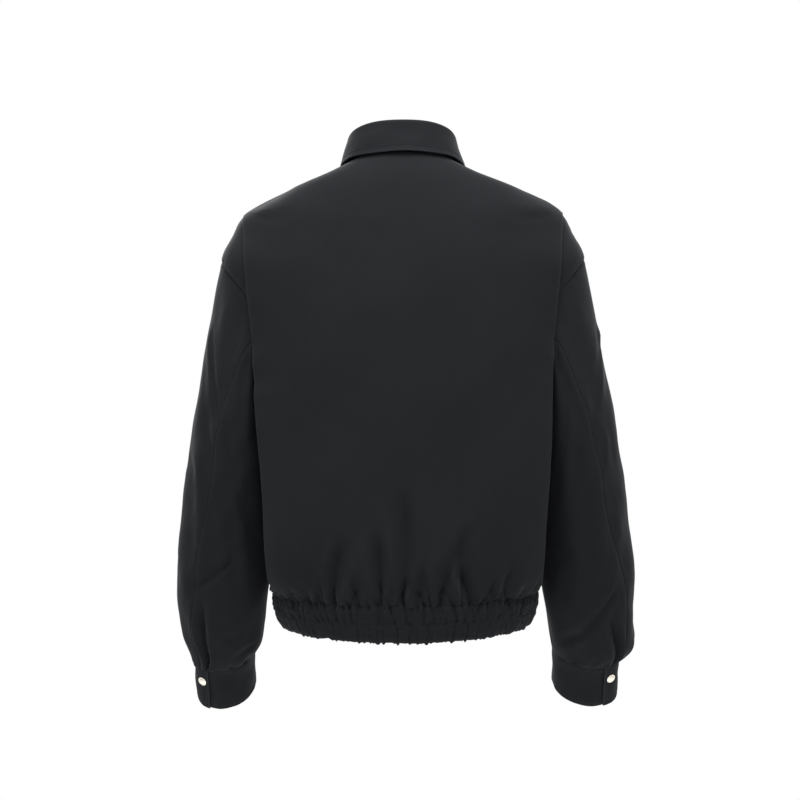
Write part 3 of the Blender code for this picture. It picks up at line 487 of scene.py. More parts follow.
def between(first, second):
    """The direction halfway between two fields of unit normals, in which both sides of a seam turn in."""
    total = first + second
    return total / np.linalg.norm(total, axis=-1, keepdims=True)


def grid_normals(grid):
    """Unit normals of a grid of points: the cross product of its steps down and across."""
    normal = np.cross(np.gradient(grid, axis=0), np.gradient(grid, axis=1))
    return normal / np.maximum(np.linalg.norm(normal, axis=-1, keepdims=True), 1e-12)


def angle_at(width, row):
    """The angle at which the body is so far from its centre line: the superellipse solved for it."""
    section = torso_at(row)
    share = np.clip(width / section["half_width"], 1e-3, 1)
    square = section["square"]
    return np.arctan((share**-square - 1) ** (1 / square))


def body(angle, row):
    """The sides and the front: the torso less the room that the arm takes, and less the drop of the layer
    that lies under the pleat."""
    point = torso(angle, row)
    section = torso_at(row)
    press = np.cos(np.clip(np.abs(angle) / ARM_ROOM_ANGLE, 0, 1) * math.pi / 2) ** 2
    under = 1 - ease((point[..., 0] - section["pleat_edge"]) / PLEAT_FADE)
    under = under * np.where(angle < 0, 1 - ease(-angle / SHOULDER_FADE), 1)
    free = ease((row - PLEAT_OPENS[0]) / PLEAT_OPENS[1])
    free = free * ease((HEM_ROW - PLEAT_CLOSES[0] - row) / PLEAT_CLOSES[1])
    under = under * (PRESSED_LAYERS + (1 - PRESSED_LAYERS) * free)
    point = point - outward(torso, angle, row) * (LAYER_DROP * section["layer"] * under)[..., None]
    point[..., 0] -= section["arm_room"] * press
    return point


def armhole_angle(turn):
    """How far round the section the armhole is, with turn going from 0 at its top, over the back, to
    180 degrees at the armpit and on up the front: a flattened oval."""
    reach = np.where(np.sin(turn) >= 0, ARMHOLE_BACK, ARMHOLE_FRONT)
    bulge = np.sqrt(np.clip(1 - np.abs(np.cos(turn)) ** ARMHOLE_OVAL, 0, 1))
    return reach * bulge * np.sign(np.sin(turn))


def armhole_row(turn):
    """The armhole's row: its middle row less half its height times the cosine of the turn."""
    middle = (ARMHOLE_TOP_ROW + ARMPIT_ROW) / 2
    return middle - (ARMPIT_ROW - middle) * np.cos(turn)


def armhole(turn):
    """The seam line of the armhole on the wearer's left."""
    return body(armhole_angle(turn), armhole_row(turn))


def sleeve_table(side):
    """The sleeve's rings with their last four set as that side has them."""
    table = SLEEVE.copy()
    table[-4:, [0, 2]] += SLEEVE_ENDS[side]
    return table


SLEEVES = {side: sleeve_table(side) for side in SIDES}


def ring(turn, row, side):
    """The sleeve as plain rings: superellipses between an outer and an inner point, leaning back."""
    at = reading(SLEEVES[side], SLEEVE_COLUMNS, row)
    across, along = squared(turn, at["square"])
    lean = np.radians(at["lean"])
    x = (at["outer_x"] + at["inner_x"] + across * (at["outer_x"] - at["inner_x"])) / 2
    z = (at["outer_z"] + at["inner_z"] + across * (at["outer_z"] - at["inner_z"])) / 2
    back = along * at["depth"]
    return np.stack([
        x - at["bow"] * np.sin(turn) ** 2,
        at["y"] + back * np.cos(lean),
        z - back * np.sin(lean),
    ], axis=-1)


def sleeve(turn, row, side):
    """The sleeve: plain rings, and the armhole's own shape fading out of the first of them."""
    fade = (1 - ease(np.asarray(row) / ARMHOLE_FADE))[..., None]
    return ring(turn, row, side) + (armhole(turn) - ring(turn, 0 * turn, side)) * fade


def sleeve_of(side):
    """One side's sleeve as a surface of two parameters."""
    return lambda turn, row: sleeve(turn, row, side)


def cuff(turn, down, side):
    """The cuff: a superellipse round the wrist carried along the forearm, with down from 0 at its seam to 1
    at its hem. Past the point where it meets its own other end, it lies under the strap."""
    top = reading(SLEEVES[side], SLEEVE_COLUMNS, float(CUFF_RING))
    across, along = squared(turn, CUFF_SQUARE)
    tuck = (1 - ease((turn - CUFF_END) / CUFF_TUCK)) * (DOUBLE + SEAM)
    x = (top["outer_x"] + top["inner_x"]) / 2
    z = (top["outer_z"] + top["inner_z"]) / 2 - CUFF_SEAM_GAP
    aside = across * ((top["outer_x"] - top["inner_x"] - CUFF_SLACK) / 2 - tuck)
    back = along * (CUFF_DEPTH / 2 - tuck)
    length = np.asarray(down) * CUFF_HEIGHT
    return np.stack([
        x + aside * math.cos(CUFF_TILT),
        top["y"] + back * math.cos(CUFF_LEAN) - length * math.sin(CUFF_LEAN),
        z - aside * math.sin(CUFF_TILT) - back * math.sin(CUFF_LEAN) - length * math.cos(CUFF_LEAN),
    ], axis=-1)


def wrist_of(side):
    """One side's cuff as a surface of two parameters."""
    return lambda turn, down: cuff(turn, down, side)


def waistband(angle, down):
    """The elastic casing: sections between the body's last one and its own lower edge, fuller between by a
    half wave."""
    top = torso_at(float(HEM_ROW))
    down = np.asarray(down, dtype=float)
    section = {}
    for key, low in BAND_BOTTOM.items():
        high = top[key]
        if key.startswith("z_"):
            high = high - BAND_SEAM_GAP
        section[key] = high + (low - high) * down
        if key in ("half_width", "back", "front"):
            section[key] = section[key] + BAND_BULGE * np.sin(math.pi * down)
    return section_point(angle, section)


def collar(angle, up):
    """The collar at an angle round the neck, with up from 0 at the neck seam over 1 at the fold to 2 at
    the edge of the fall: two straight slopes that meet in a half circle."""
    front = -angle_at(ZIP_GAP, 0.0)
    share = (math.pi / 2 - angle) / (math.pi / 2 - front)
    at = reading(COLLAR, COLLAR_COLUMNS, 1 + share * (len(COLLAR) - 2))
    fold = np.stack([at["fold_x"], at["fold_y"], at["fold_z"]], axis=-1)
    seam = torso(angle, 0 * angle) + np.array([0, 0, COLLAR_SEAM_GAP])
    edge_angle = np.radians(at["edge_angle"])
    edge = torso(edge_angle, at["row_down"])
    edge = edge + outward(torso, edge_angle, at["row_down"]) * at["lift"][..., None]
    out = (edge - fold) * (1, 1, 0)
    out = out / np.linalg.norm(out, axis=-1, keepdims=True) * COLLAR_FOLD_RADIUS
    bend = (np.clip((up - 1 + COLLAR_BEND) / (2 * COLLAR_BEND), 0, 1) * math.pi)[..., None]
    turned = fold - out * np.cos(bend) + np.array([0, 0, COLLAR_FOLD_RADIUS]) * np.sin(bend)
    stand = np.clip(up / (1 - COLLAR_BEND), 0, 1)[..., None]
    fall = np.clip((up - 1 - COLLAR_BEND) / (1 - COLLAR_BEND), 0, 1)[..., None]
    return turned + (seam - turned) * (1 - stand) + (edge - turned) * fall


# ---- Laying out a grid ----
def run_along(points, axis):
    """Distance along each line of a grid from its first point: the running sum of its steps."""
    step = np.linalg.norm(np.diff(points, axis=axis), axis=-1)
    return np.concatenate([np.zeros_like(np.take(step, [0], axis=axis)), np.cumsum(step, axis=axis)], axis)


def turned_edge(thickness):
    """The edge of a piece that is sewn to another: it bends inward just before the seam, further from it
    the thicker the cloth is."""
    distance, drop = np.transpose(TURNED_EDGE)
    scale = max(1.0, 0.6 * thickness / CLOTH)
    return np.column_stack([distance * scale + EDGE_INSET * thickness / MM, drop * min(scale, 1.25)])


def gathered_edge(thickness):
    """The edge of a piece that is gathered into another: it turns in less than a plain seam does, and the
    two edges lie close enough to touch."""
    return np.array(GATHERED_EDGE) + (EDGE_INSET * thickness / MM, 0)


def spaced(total, near, far, pitch):
    """Distances along lines of the given lengths: those of the near edge, then even ones about a pitch
    apart, then those of the far edge. Their number is odd. Also the edges' drop at each."""
    near, far = np.array(near) * MM, np.array(far) * MM
    total = np.atleast_1d(total)[:, None]
    steps = int(np.max(total) / pitch)
    steps += (steps + len(near) + len(far)) % 2
    share = np.linspace(0, 1, steps + 1)
    middle = near[-1, 0] + (total - far[-1, 0] - near[-1, 0]) * share
    start = near[:-1, 0] + 0 * total
    stop = total - far[-2::-1, 0]
    drop = np.concatenate([near[:-1, 1], 0 * share, far[-2::-1, 1]])
    return np.concatenate([start, middle, stop], axis=1), drop


def row_numbers(surface, angle, first, last, near, far, pitch):
    """Rows that are evenly spaced along one line of a surface, with the edges' own spacing at its ends."""
    fine = np.linspace(first, last, FINE)
    run = run_along(surface(np.full(FINE, angle), fine), 0)
    marks, drop = spaced(run[-1], near, far, pitch)
    return np.interp(marks[0], run, fine), drop


def lines_across(surface, start, stop, rows):
    """For each row many angles from start to stop, and the distance along the surface to each."""
    angles = start[:, None] + (stop - start)[:, None] * np.linspace(0, 1, FINE)
    return angles, run_along(surface(angles, np.repeat(rows[:, None], FINE, axis=1)), 1)


def sampled(surface, rows, marks, run, fine):
    """The points, normals, angles and rows of a surface at distances along each of its rows."""
    angles = np.array([np.interp(*line) for line in zip(marks, run, fine)])
    grid_rows = np.repeat(rows[:, None], angles.shape[1], axis=1)
    return surface(angles, grid_rows), outward(surface, angles, grid_rows), angles, grid_rows


def patch(surface, start, stop, rows, row_drop, near, far, pitch):
    """A patch of a surface with its lines evenly spaced along each row: its points, normals, angles, rows
    and the drop of its turned edges."""
    fine, run = lines_across(surface, start, stop, rows)
    marks, column_drop = spaced(run[:, -1], near, far, pitch)
    drop = np.maximum(row_drop[:, None], column_drop[None, :])
    return *sampled(surface, rows, marks, run, fine), drop


# ---- Folds and seams ----
STEEP_SIDE, GENTLE_SIDE = 0.82, 1.2  # half widths of a fold's two sides, as shares of its own
FOLD_POWER = 1.45
RIDGE_HEIGHT = 0.26  # of the ridge along each side of a fold, as a share of its depth
RIDGE_PLACE, RIDGE_WIDTH = 2.1, 0.8  # in half widths of the fold


def folds(table, across, down):
    """Height of the folds at points given in millimetres, in metres. Each fold follows its chord, bowed by
    a parabola. Across it the cloth is a trough, e to the power of minus the distance over the half width
    to the fold's power, with a low ridge along each side. One side is steeper than the other."""
    height = np.zeros(across.shape)
    for x, y, to_x, to_y, bow, near, far, depth, lead, tail in table:
        length = math.hypot(to_x - x, to_y - y)
        along = ((across - x) * (to_x - x) + (down - y) * (to_y - y)) / length**2
        aside = ((across - x) * (to_y - y) - (down - y) * (to_x - x)) / length
        t = np.clip(along, 0, 1)
        aside = aside - bow * 4 * t * (1 - t)
        beyond = (along - t) * length
        width = near + (far - near) * ease(2 * t)
        share = np.where(aside * (1 if bow >= 0 else -1) > 0, STEEP_SIDE, GENTLE_SIDE)
        reach = np.hypot(aside / (width * share), beyond / width)
        cross = np.exp(-(reach**FOLD_POWER)) - RIDGE_HEIGHT * hump((reach - RIDGE_PLACE) / RIDGE_WIDTH)
        fade = ease(along / lead + 0.15) * ease((1 - along) / tail)
        height += depth * cross * fade
    return height * MM


def waves(seed, across, down, shortest, longest, count=9):
    """Broad uneven waves of about unit height: a sum of plane waves with random directions, lengths
    between two limits and phases, from a fixed seed."""
    pick = np.random.default_rng(seed)
    angle = pick.uniform(0, math.pi, count)
    pace = 2 * math.pi / pick.uniform(shortest, longest, count)
    phase = pick.uniform(0, 2 * math.pi, count)
    total = np.zeros(across.shape)
    for i in range(count):
        total += np.sin((across * math.cos(angle[i]) + down * math.sin(angle[i])) * pace[i] + phase[i])
    return total / math.sqrt(count)


def nearest(points, line):
    """For each point of a grid its distance to a line of points, and how far along the line that is: the
    nearest of its points, and then the nearest spot on the two pieces of line beside it."""
    flat = points.reshape(-1, 3)
    square = (flat**2).sum(1)[:, None] + (line**2).sum(1)[None, :] - 2 * flat @ line.T
    index = square.argmin(1)
    run = run_along(line, 0)
    best = np.full(len(flat), np.inf)
    place = np.zeros(len(flat))
    for shift in (-1, 0):
        low = np.clip(index + shift, 0, len(line) - 2)
        start, step = line[low], line[low + 1] - line[low]
        size = np.maximum((step**2).sum(1), 1e-18)
        t = np.clip(((flat - start) * step).sum(1) / size, 0, 1)
        distance = np.linalg.norm(start + step * t[:, None] - flat, axis=1)
        closer = distance < best
        best = np.where(closer, distance, best)
        place = np.where(closer, run[low] + t * (run[low + 1] - run[low]), place)
    return best.reshape(points.shape[:2]), place.reshape(points.shape[:2])


SEAM_VALLEY = 1.5 * MM  # half width of the valley along a seam
SEAM_RISE = (0.35, 5 * MM, 3 * MM)  # of the rise beside it: share of the seam's depth, place, half width
PUCKERS = (6 * MM, 15 * MM, 8 * MM)  # the shortest and the longest ripple, and over what they fade


def seam_height(distance, run, seed, sewing):
    """Beside a seam: a small valley with a soft rise next to it, and ripples that point at the seam and
    fade away from it."""
    share, place, width = SEAM_RISE
    shortest, longest, fade = PUCKERS
    dip = -hump(distance / SEAM_VALLEY) + share * hump((distance - place) / width)
    ripple = waves(seed, run, 0 * run, shortest, longest, 5) * np.exp(-distance / fade)
    return sewing.seam_depth * dip + sewing.pucker * ripple


def seams(points, edges, seed, sewing):
    """Height from the seams along edges of a grid, and how near each point is to an edge, from 0 to 1."""
    lines = {"top": points[0], "bottom": points[-1], "start": points[:, 0], "stop": points[:, -1]}
    height = np.zeros(points.shape[:2])
    wear_and_highlight = np.zeros(points.shape[:2])
    for i, (edge, strength) in enumerate(sorted(edges.items())):
        distance, run = nearest(points, lines[edge])
        height += strength * seam_height(distance, run, seed + i, sewing)
        wear_and_highlight = np.maximum(wear_and_highlight, np.exp(-distance / (2.5 * MM)))
    return height, wear_and_highlight


GROOVE = 0.8 * MM  # half width of the line under a row of stitches
PUFF = 3.2 * MM  # and of the cloth that rises beside it


def groove(distance, sewing):
    """The line that a row of stitches presses into the cloth, with the cloth puffed up beside it."""
    return 0.5 * sewing.thread * (0.5 * hump(distance / PUFF) - 1.5 * hump(distance / GROOVE))


HEM_ANGLES = np.linspace(math.pi / 2, -math.pi / 2, 2 * FINE)
HEM_RUN = run_along(torso(HEM_ANGLES, np.full(2 * FINE, float(HEM_ROW))), 0)
BACK_ROWS = np.linspace(0, HEM_ROW, 2 * FINE)
BACK_RUN = run_along(torso(np.full(2 * FINE, math.pi / 2), BACK_ROWS), 0)


def round_hem(angle):
    """Distance round the waistband's seam from the centre back to an angle, on the wearer's left."""
    return np.interp(-angle, -HEM_ANGLES, HEM_RUN)


def above_hem(row):
    """Distance from a row down to the waistband's seam."""
    return BACK_RUN[-1] - np.interp(row, BACK_ROWS, BACK_RUN)


HALF_HEM = 0.49  # half of the distance round the waistband's seam, and a little more
GATHERED_TO = 0.47  # the gathers reach so far round from the centre back, just past the zip's edge


def gather_table(seed, low, high):
    """Gathers all round the hem: places with uneven spaces between two limits, and for each a depth, a
    half width, a height and a slant, all from a fixed seed."""
    pick = np.random.default_rng(seed)
    count = int(2 * HALF_HEM / low)
    place = np.cumsum(pick.uniform(low, high, count)) - GATHERED_TO
    place = place[place < GATHERED_TO]
    shape = pick.uniform(0, 1, (4, len(place)))
    return place, 0.25 + 0.75 * shape[0], 0.75 + 0.75 * shape[1], shape[2], 2 * shape[3] - 1


COARSE_GATHERS = gather_table(11, 7.5 * MM, 18.0 * MM)
SMALL_GATHERS = gather_table(14, 4.6 * MM, 11.0 * MM)
FINE_GATHERS = gather_table(12, 3.6 * MM, 7.4 * MM)


GATHER_SLANT = 0.45  # at most so far to the side for each unit of height
GATHER_SPREAD = 14  # a gather widens by so many times its width for each metre above the seam
GATHER_REACH = 0.05  # up to this height it leans and widens


def gather_height(table, around, above, width, tallest):
    """Gathers at a distance round the hem and above its seam: each is a narrow valley, e to the power of
    minus the distance over its half width to the power 1.6, less a soft rise between the valleys. It
    leans with its height and fades out at its own height."""
    total = np.zeros(around.shape)
    for place, depth, wide, tall, slant in zip(*table):
        height = tallest * (0.25 + 0.75 * tall**2)
        centre = place + slant * GATHER_SLANT * np.clip(above, -0.02, GATHER_REACH)
        spread = 1 + np.clip(above, 0, GATHER_REACH) * GATHER_SPREAD
        aside = np.abs(around - centre) / (width * wide * spread)
        fade = 1 - ease(above / height)
        total -= depth * fade * (np.exp(-(aside**1.6)) - 0.28 * hump((aside - 1.9) / 0.8))
    return total


def hem_height(around, above, sewing):
    """What the waistband's elastic does to the cloth above it: large gathers and small ones between."""
    large = gather_height(COARSE_GATHERS, around, above, 2.1 * MM, 76 * MM)
    small = gather_height(SMALL_GATHERS, around, above, 1.6 * MM, 40 * MM)
    return sewing.gather_depth * (1.75 * large + 1.0 * small)


HEM_REACH = 15 * MM  # height over which what the waistband's seam does to the cloth fades out
LEAN_REACH = 11 * MM  # and over which the directions of its folds go over into the waistband's
HEM_WAVES = 2.0 * MM  # how far the seam rises and falls


def hem_push(angles, above):
    """How far the cloth near the waistband's seam stands out at the back and the front: the square of
    the sine, so that the body flows into the band."""
    out = outward(waistband, angles, 0 * angles) * (1, 1, 0)
    return out * (HEM_FULLNESS * np.sin(angles) ** 2 * hump(above / HEM_REACH))[..., None]


def hem_shift(angles, around, above):
    """How the cloth near the waistband's seam moves: it stands out, and it rises and falls unevenly
    along the seam."""
    shift = hem_push(angles, above)
    shift[..., 2] += HEM_WAVES * waves(13, around / MM, 0 * around, 14, 44) * hump(above / HEM_REACH)
    return shift


def hem_lean(normal, angles, above):
    """The directions in which folds move the cloth: its normals, going over into the waistband's normals
    at the waistband's seam, so that both sides of the seam move together."""
    share = hump(above / LEAN_REACH)[..., None]
    return between(normal * (1 - share), outward(waistband, angles, 0 * angles) * share)


def hem_turn(normal, angles):
    """The directions in which a body panel's edges turn in: its normals, and along the waistband's seam
    halfway to the waistband's normals."""
    way = normal.copy()
    band = outward(waistband, angles[-1], 0 * angles[-1])
    way[-SEWN_EDGE_STEPS:] = between(normal[-1], band)
    return way


def armhole_turn(turn):
    """The directions in which both sides of the left armhole's seam turn in."""
    on_body = outward(body, armhole_angle(turn), armhole_row(turn))
    return between(on_body, outward(sleeve_of(1), turn, 0 * turn))


# ---- Meshes ----
def circle(sides):
    """Cosines and sines of evenly spaced angles all round."""
    angle = np.arange(sides) * 2 * math.pi / sides
    return np.cos(angle), np.sin(angle)


def tube(grid):
    """Faces of a closed tube from a grid of point numbers, one row for each ring: its walls and its ends."""
    turned = np.roll(grid, -1, axis=1)
    walls = np.stack([grid[:-1], grid[1:], turned[1:], turned[:-1]], axis=-1).reshape(-1, 4)
    return walls, np.stack([grid[0], grid[-1, ::-1]])


def points_at(marks, run, line):
    """A line's points, or the directions along it, at the given distances."""
    return np.stack([np.interp(marks, run, line[:, i]) for i in range(3)], axis=1)


def mesh_object(name, points, faces, stuff, uv=None, wear_and_highlight=None):
    """One object from points and lists of faces with the same number of corners, its faces turned out by
    the sign of its volume: a sum of the volumes of the pyramids from the origin to each face."""
    fans = np.concatenate([
        np.stack([face[:, 0], face[:, i], face[:, i + 1]], axis=1)
        for face in faces for i in range(1, face.shape[1] - 1)
    ])
    a, b, c = (points[fans[:, i]] for i in range(3))
    if (a * np.cross(b, c)).sum() < 0:
        faces = [face[:, ::-1] for face in faces]
    loops = np.concatenate([face.ravel() for face in faces]).astype(np.int32)
    sizes = np.concatenate([np.full(len(face), face.shape[1]) for face in faces])
    mesh = bpy.data.meshes.new(name)
    mesh.vertices.add(len(points))
    mesh.vertices.foreach_set("co", points.astype(np.float32).ravel())
    mesh.loops.add(len(loops))
    mesh.loops.foreach_set("vertex_index", loops)
    mesh.polygons.add(len(sizes))
    mesh.polygons.foreach_set("loop_start", (np.cumsum(sizes) - sizes).astype(np.int32))
    mesh.update(calc_edges=True)
    if uv is not None:
        layer = mesh.uv_layers.new(name="Grain")
        layer.uv.foreach_set("vector", uv[loops].astype(np.float32).ravel())
    if wear_and_highlight is not None:
        # Paler edges for each point: rubbing, and on the pleat's folded edge also a painted highlight.
        layer = mesh.attributes.new("wear_and_highlight", "FLOAT", "POINT")
        layer.data.foreach_set("value", wear_and_highlight.astype(np.float32))
    mesh.validate()
    mesh.materials.append(stuff)
    mesh.shade_smooth()
    thing = bpy.data.objects.new(name, mesh)
    bpy.context.collection.objects.link(thing)
    return thing


def cloth_object(name, middle, guide, thickness, stuff, wear_and_highlight):
    """A sheet of cloth from a grid of points on its middle. The outer face is the grid moved out by half
    the thickness, the inner face every second point moved in, and a rounded rim joins them. Its UV map
    is the distance along the cloth's grain, in metres. Returns the object and the outer face."""
    rows, columns = middle.shape[:2]
    normal = grid_normals(middle)
    if np.median((normal * guide).sum(-1)) < 0:
        normal = -normal
    outer = middle + normal * thickness / 2
    inner = (middle - normal * thickness / 2)[::2, ::2]
    top = np.arange(rows * columns).reshape(rows, columns)
    under = rows * columns + np.arange(inner.shape[0] * inner.shape[1]).reshape(inner.shape[:2])
    rim = np.concatenate([top[:, 0], top[-1, 1:], top[-2::-1, -1], top[0, -2:0:-1]])
    beside = np.concatenate([top[:, 1], top[-2, 1:], top[-2::-1, -2], top[1, -2:0:-1]])
    inner_rim = np.concatenate([under[:, 0], under[-1, 1:], under[-2::-1, -1], under[0, -2:0:-1]])
    flat = middle.reshape(-1, 3)
    away = flat[rim] - flat[beside]
    away = away / np.maximum(np.linalg.norm(away, axis=1, keepdims=True), 1e-9)
    edge = flat[rim] + away * thickness * 0.35
    points = np.concatenate([outer.reshape(-1, 3), inner.reshape(-1, 3), edge])
    middle_rim = rows * columns + under.size + np.arange(len(rim))
    quads = [
        np.stack([corner.ravel() for corner in (g[:-1, :-1], g[1:, :-1], g[1:, 1:], g[:-1, 1:])], 1)
        for g in (top, under)
    ]
    next_rim = np.roll(rim, -1)
    next_middle = np.roll(middle_rim, -1)
    sides = np.stack([rim, middle_rim, next_middle, next_rim], 1)
    closing = np.stack([
        middle_rim[::2], inner_rim, np.roll(inner_rim, -1), np.roll(middle_rim, -2)[::2], middle_rim[1::2],
    ], 1)
    across = run_along(middle, 1)
    across = across - across[:, columns // 2][:, None]
    uv = np.stack([across, run_along(middle, 0)], axis=-1)
    uv = np.concatenate([uv.reshape(-1, 2), uv[::2, ::2].reshape(-1, 2), uv.reshape(-1, 2)[rim]])
    wear_and_highlight = np.concatenate([wear_and_highlight.ravel(), wear_and_highlight[::2, ::2].ravel(), wear_and_highlight.ravel()[rim]])
    thing = mesh_object(name, points, [quads[0], quads[1][:, ::-1], sides, closing], stuff, uv, wear_and_highlight)
    return thing, outer, normal


def declare(thing, node, body="jacket"):
    """Hangs a piece on the body it rides on and hides the CAD node that it stands for."""
    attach(thing, body)
    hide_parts(node)


def twill_piece(scene, name, node_name, laid, middle, normal, thickness, wear_and_highlight, **sheet):
    """A piece of the twill, hung on the jacket, with the CAD node that it stands for hidden. Returns its
    outer face and that face's normals.
    """
    stuff = stuff_for(scene, "dyed_cotton_twill")
    thing, outer, out = cloth_object(name, middle, normal, thickness, stuff, wear_and_highlight)
    declare(thing, node_name)
    return outer, out


def stitch_lines(scene, name, lines):
    """Rows of topstitching as one object. Each stitch is a short rod with six sides whose two ends are
    narrow and dip into the cloth, laid at even distances along its line."""
    sewing = scene.jacket_sewing
    pitch = sewing.stitch_length + sewing.stitch_gap
    along = np.array([-1, -0.6, 0.6, 1]) * sewing.stitch_length / 2
    girth = np.array([0.35, 1, 1, 0.35]) * sewing.thread / 2
    rise = np.array([-0.5, 0.1, 0.1, -0.5]) * sewing.thread / 2
    sides = 6
    cosine, sine = circle(sides)
    shape = np.stack([
        np.repeat(along, sides),
        np.outer(girth, cosine).ravel(),
        (np.outer(girth, sine) + rise[:, None]).ravel(),
    ], axis=1)
    walls, ends = tube(np.arange(len(along) * sides).reshape(len(along), sides))
    points = []
    for line, normal in lines:
        run = run_along(line, 0)
        marks = np.arange(pitch, run[-1] - pitch / 2, pitch)
        place = points_at(marks, run, line)
        up = points_at(marks, run, normal)
        forward = points_at(marks + pitch / 3, run, line) - place
        forward /= np.linalg.norm(forward, axis=1, keepdims=True)
        aside = np.cross(up, forward)
        aside /= np.linalg.norm(aside, axis=1, keepdims=True)
        up = np.cross(forward, aside)
        axes = np.stack([forward, aside, up], axis=1)
        points.append((place[:, None, :] + np.einsum("kj,njc->nkc", shape, axes)).reshape(-1, 3))
    points = np.concatenate(points)
    offsets = np.arange(0, len(points), len(shape))[:, None, None]
    faces = [(walls[None] + offsets).reshape(-1, 4), (ends[None] + offsets).reshape(-1, sides)]
    thing = mesh_object(name, points, faces, stuff_for(scene, "spun_thread"))
    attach(thing, "jacket")


# ---- Materials ----
def node(tree, kind, settings=None, inputs=None):
    """Adds a node, gives it its settings, and gives its inputs their numbers or links. A link from a node
    itself is one from the first of its outputs that is in use."""
    made = tree.nodes.new(kind)
    for key, value in (settings or {}).items():
        setattr(made, key, value)
    for key, value in (inputs or {}).items():
        if isinstance(value, bpy.types.Node):
            value = next(output for output in value.outputs if output.enabled)
        if isinstance(value, bpy.types.NodeSocket):
            tree.links.new(value, made.inputs[key])
        else:
            made.inputs[key].default_value = value
    return made


def new_material(name):
    """An empty material and its node tree."""
    stuff = bpy.data.materials.new(name)
    stuff.use_nodes = True
    stuff.node_tree.nodes.clear()
    return stuff, stuff.node_tree


def surface_of(stuff, inputs):
    """Gives a material its surface shader, with numbers and links, and its output."""
    shader = node(stuff.node_tree, "ShaderNodeBsdfPrincipled", inputs=inputs)
    node(stuff.node_tree, "ShaderNodeOutputMaterial", inputs={"Surface": shader})
    return stuff


def patterned(stuff, pattern, colours, rough, relief=None, inputs=None):
    """Ends a material whose colour and roughness go between two of each with one pattern. Its relief is a
    height, and the bump's strength and distance."""
    tree = stuff.node_tree
    dark, light = colours
    colour = node(tree, "ShaderNodeMix", {"data_type": "RGBA"}, {
        "Factor": pattern, "A": (*dark, 1), "B": (*light, 1),
    })
    gloss = node(tree, "ShaderNodeMapRange", inputs={
        "Value": pattern, "To Min": rough[0], "To Max": rough[1],
    })
    surface = {"Base Color": colour, "Roughness": gloss, **(inputs or {})}
    if relief:
        height, strength, distance = relief
        surface["Normal"] = node(tree, "ShaderNodeBump", inputs={
            "Height": height, "Strength": strength, "Distance": distance,
        })
    return surface_of(stuff, surface)


def dyed_cotton_twill(cloth):
    """Black cotton twill, piece dyed and washed. It is matt, with a soft sheen from the short fibres that
    stand on it where it turns away, fine slanting ribs, slight unevenness of the dye, and paler edges
    from rubbing at seams and folds; along the pleat's folded edge that paler colour is also a painted
    highlight."""
    stuff, tree = new_material("dyed_cotton_twill")
    grain = node(tree, "ShaderNodeUVMap", {"uv_map": "Grain"})
    place = node(tree, "ShaderNodeTexCoord")
    # Real ribs are 0.7 to 0.9 mm apart. They are drawn three times as coarse, so that they show.
    ribs = node(tree, "ShaderNodeTexWave", {"wave_type": "BANDS", "bands_direction": "DIAGONAL"}, {
        "Vector": grain, "Scale": 2 * math.pi / (10 * cloth.twill_pitch * math.sqrt(2)),
        "Distortion": 0.6, "Detail": 1.0, "Detail Scale": 0.7,
    })
    yarn = node(tree, "ShaderNodeTexNoise", inputs={
        "Vector": grain, "Scale": 0.8 / cloth.twill_pitch, "Detail": 2.0, "Roughness": 0.6,
    })
    dye = node(tree, "ShaderNodeTexNoise", inputs={
        "Vector": place.outputs["Object"], "Scale": 14.0, "Detail": 4.0, "Roughness": 0.55,
    })
    # Paler edges: real rubbing along seams, hems and folds, and along the pleat's folded edge also a painted
    # highlight of the light that the edge catches.
    wear_and_highlight_attribute = node(tree, "ShaderNodeAttribute", {"attribute_name": "wear_and_highlight"})
    dark = tuple(0.88 * c for c in cloth.colour)
    light = tuple(1.14 * c for c in cloth.colour)
    rubbed_and_lit = tuple(2.6 * c for c in cloth.colour)
    uneven = node(tree, "ShaderNodeMix", {"data_type": "RGBA"}, {
        "Factor": dye, "A": (*dark, 1), "B": (*light, 1),
    })
    ribbed = node(tree, "ShaderNodeMix", {"data_type": "RGBA", "blend_type": "MULTIPLY"}, {
        "Factor": 0.12, "A": uneven, "B": ribs.outputs["Color"],
    })
    high = node(tree, "ShaderNodeMapRange", inputs={
        "Value": yarn, "To Min": 0.3, "To Max": 1.1,
    })
    rub_and_highlight = node(tree, "ShaderNodeMath", {"operation": "MULTIPLY", "use_clamp": True}, {
        0: wear_and_highlight_attribute.outputs["Fac"], 1: high,
    })
    colour = node(tree, "ShaderNodeMix", {"data_type": "RGBA"}, {
        "Factor": rub_and_highlight, "A": ribbed, "B": (*rubbed_and_lit, 1),
    })
    height = node(tree, "ShaderNodeMath", {"operation": "MULTIPLY_ADD"}, {
        0: ribs.outputs["Fac"], 1: 0.6, 2: yarn,
    })
    bump = node(tree, "ShaderNodeBump", inputs={
        "Height": height, "Strength": 0.25, "Distance": 0.2 * MM,
    })
    rough = node(tree, "ShaderNodeMapRange", inputs={
        "Value": yarn, "To Min": 0.78, "To Max": 0.95,
    })
    return surface_of(stuff, {
        "Base Color": colour, "Roughness": rough,
        "Normal": bump, "Specular IOR Level": 0.08, "Sheen Weight": 0.05,
        "Sheen Roughness": 0.45, "Sheen Tint": (*linear("#c8ccd4"), 1),
    })


def spun_thread():
    """Black spun polyester thread: a little smoother and glossier than the cotton, so that each stitch
    catches a small light. Its plies are too fine to see, so a noise stands for them."""
    stuff, tree = new_material("spun_thread")
    place = node(tree, "ShaderNodeTexCoord")
    plies = node(tree, "ShaderNodeTexNoise", inputs={"Vector": place.outputs["Object"], "Scale": 900.0})
    colours = linear("#131416"), linear("#1f2023")
    return patterned(stuff, plies, colours, (0.5, 0.75), inputs={"Specular IOR Level": 0.2})


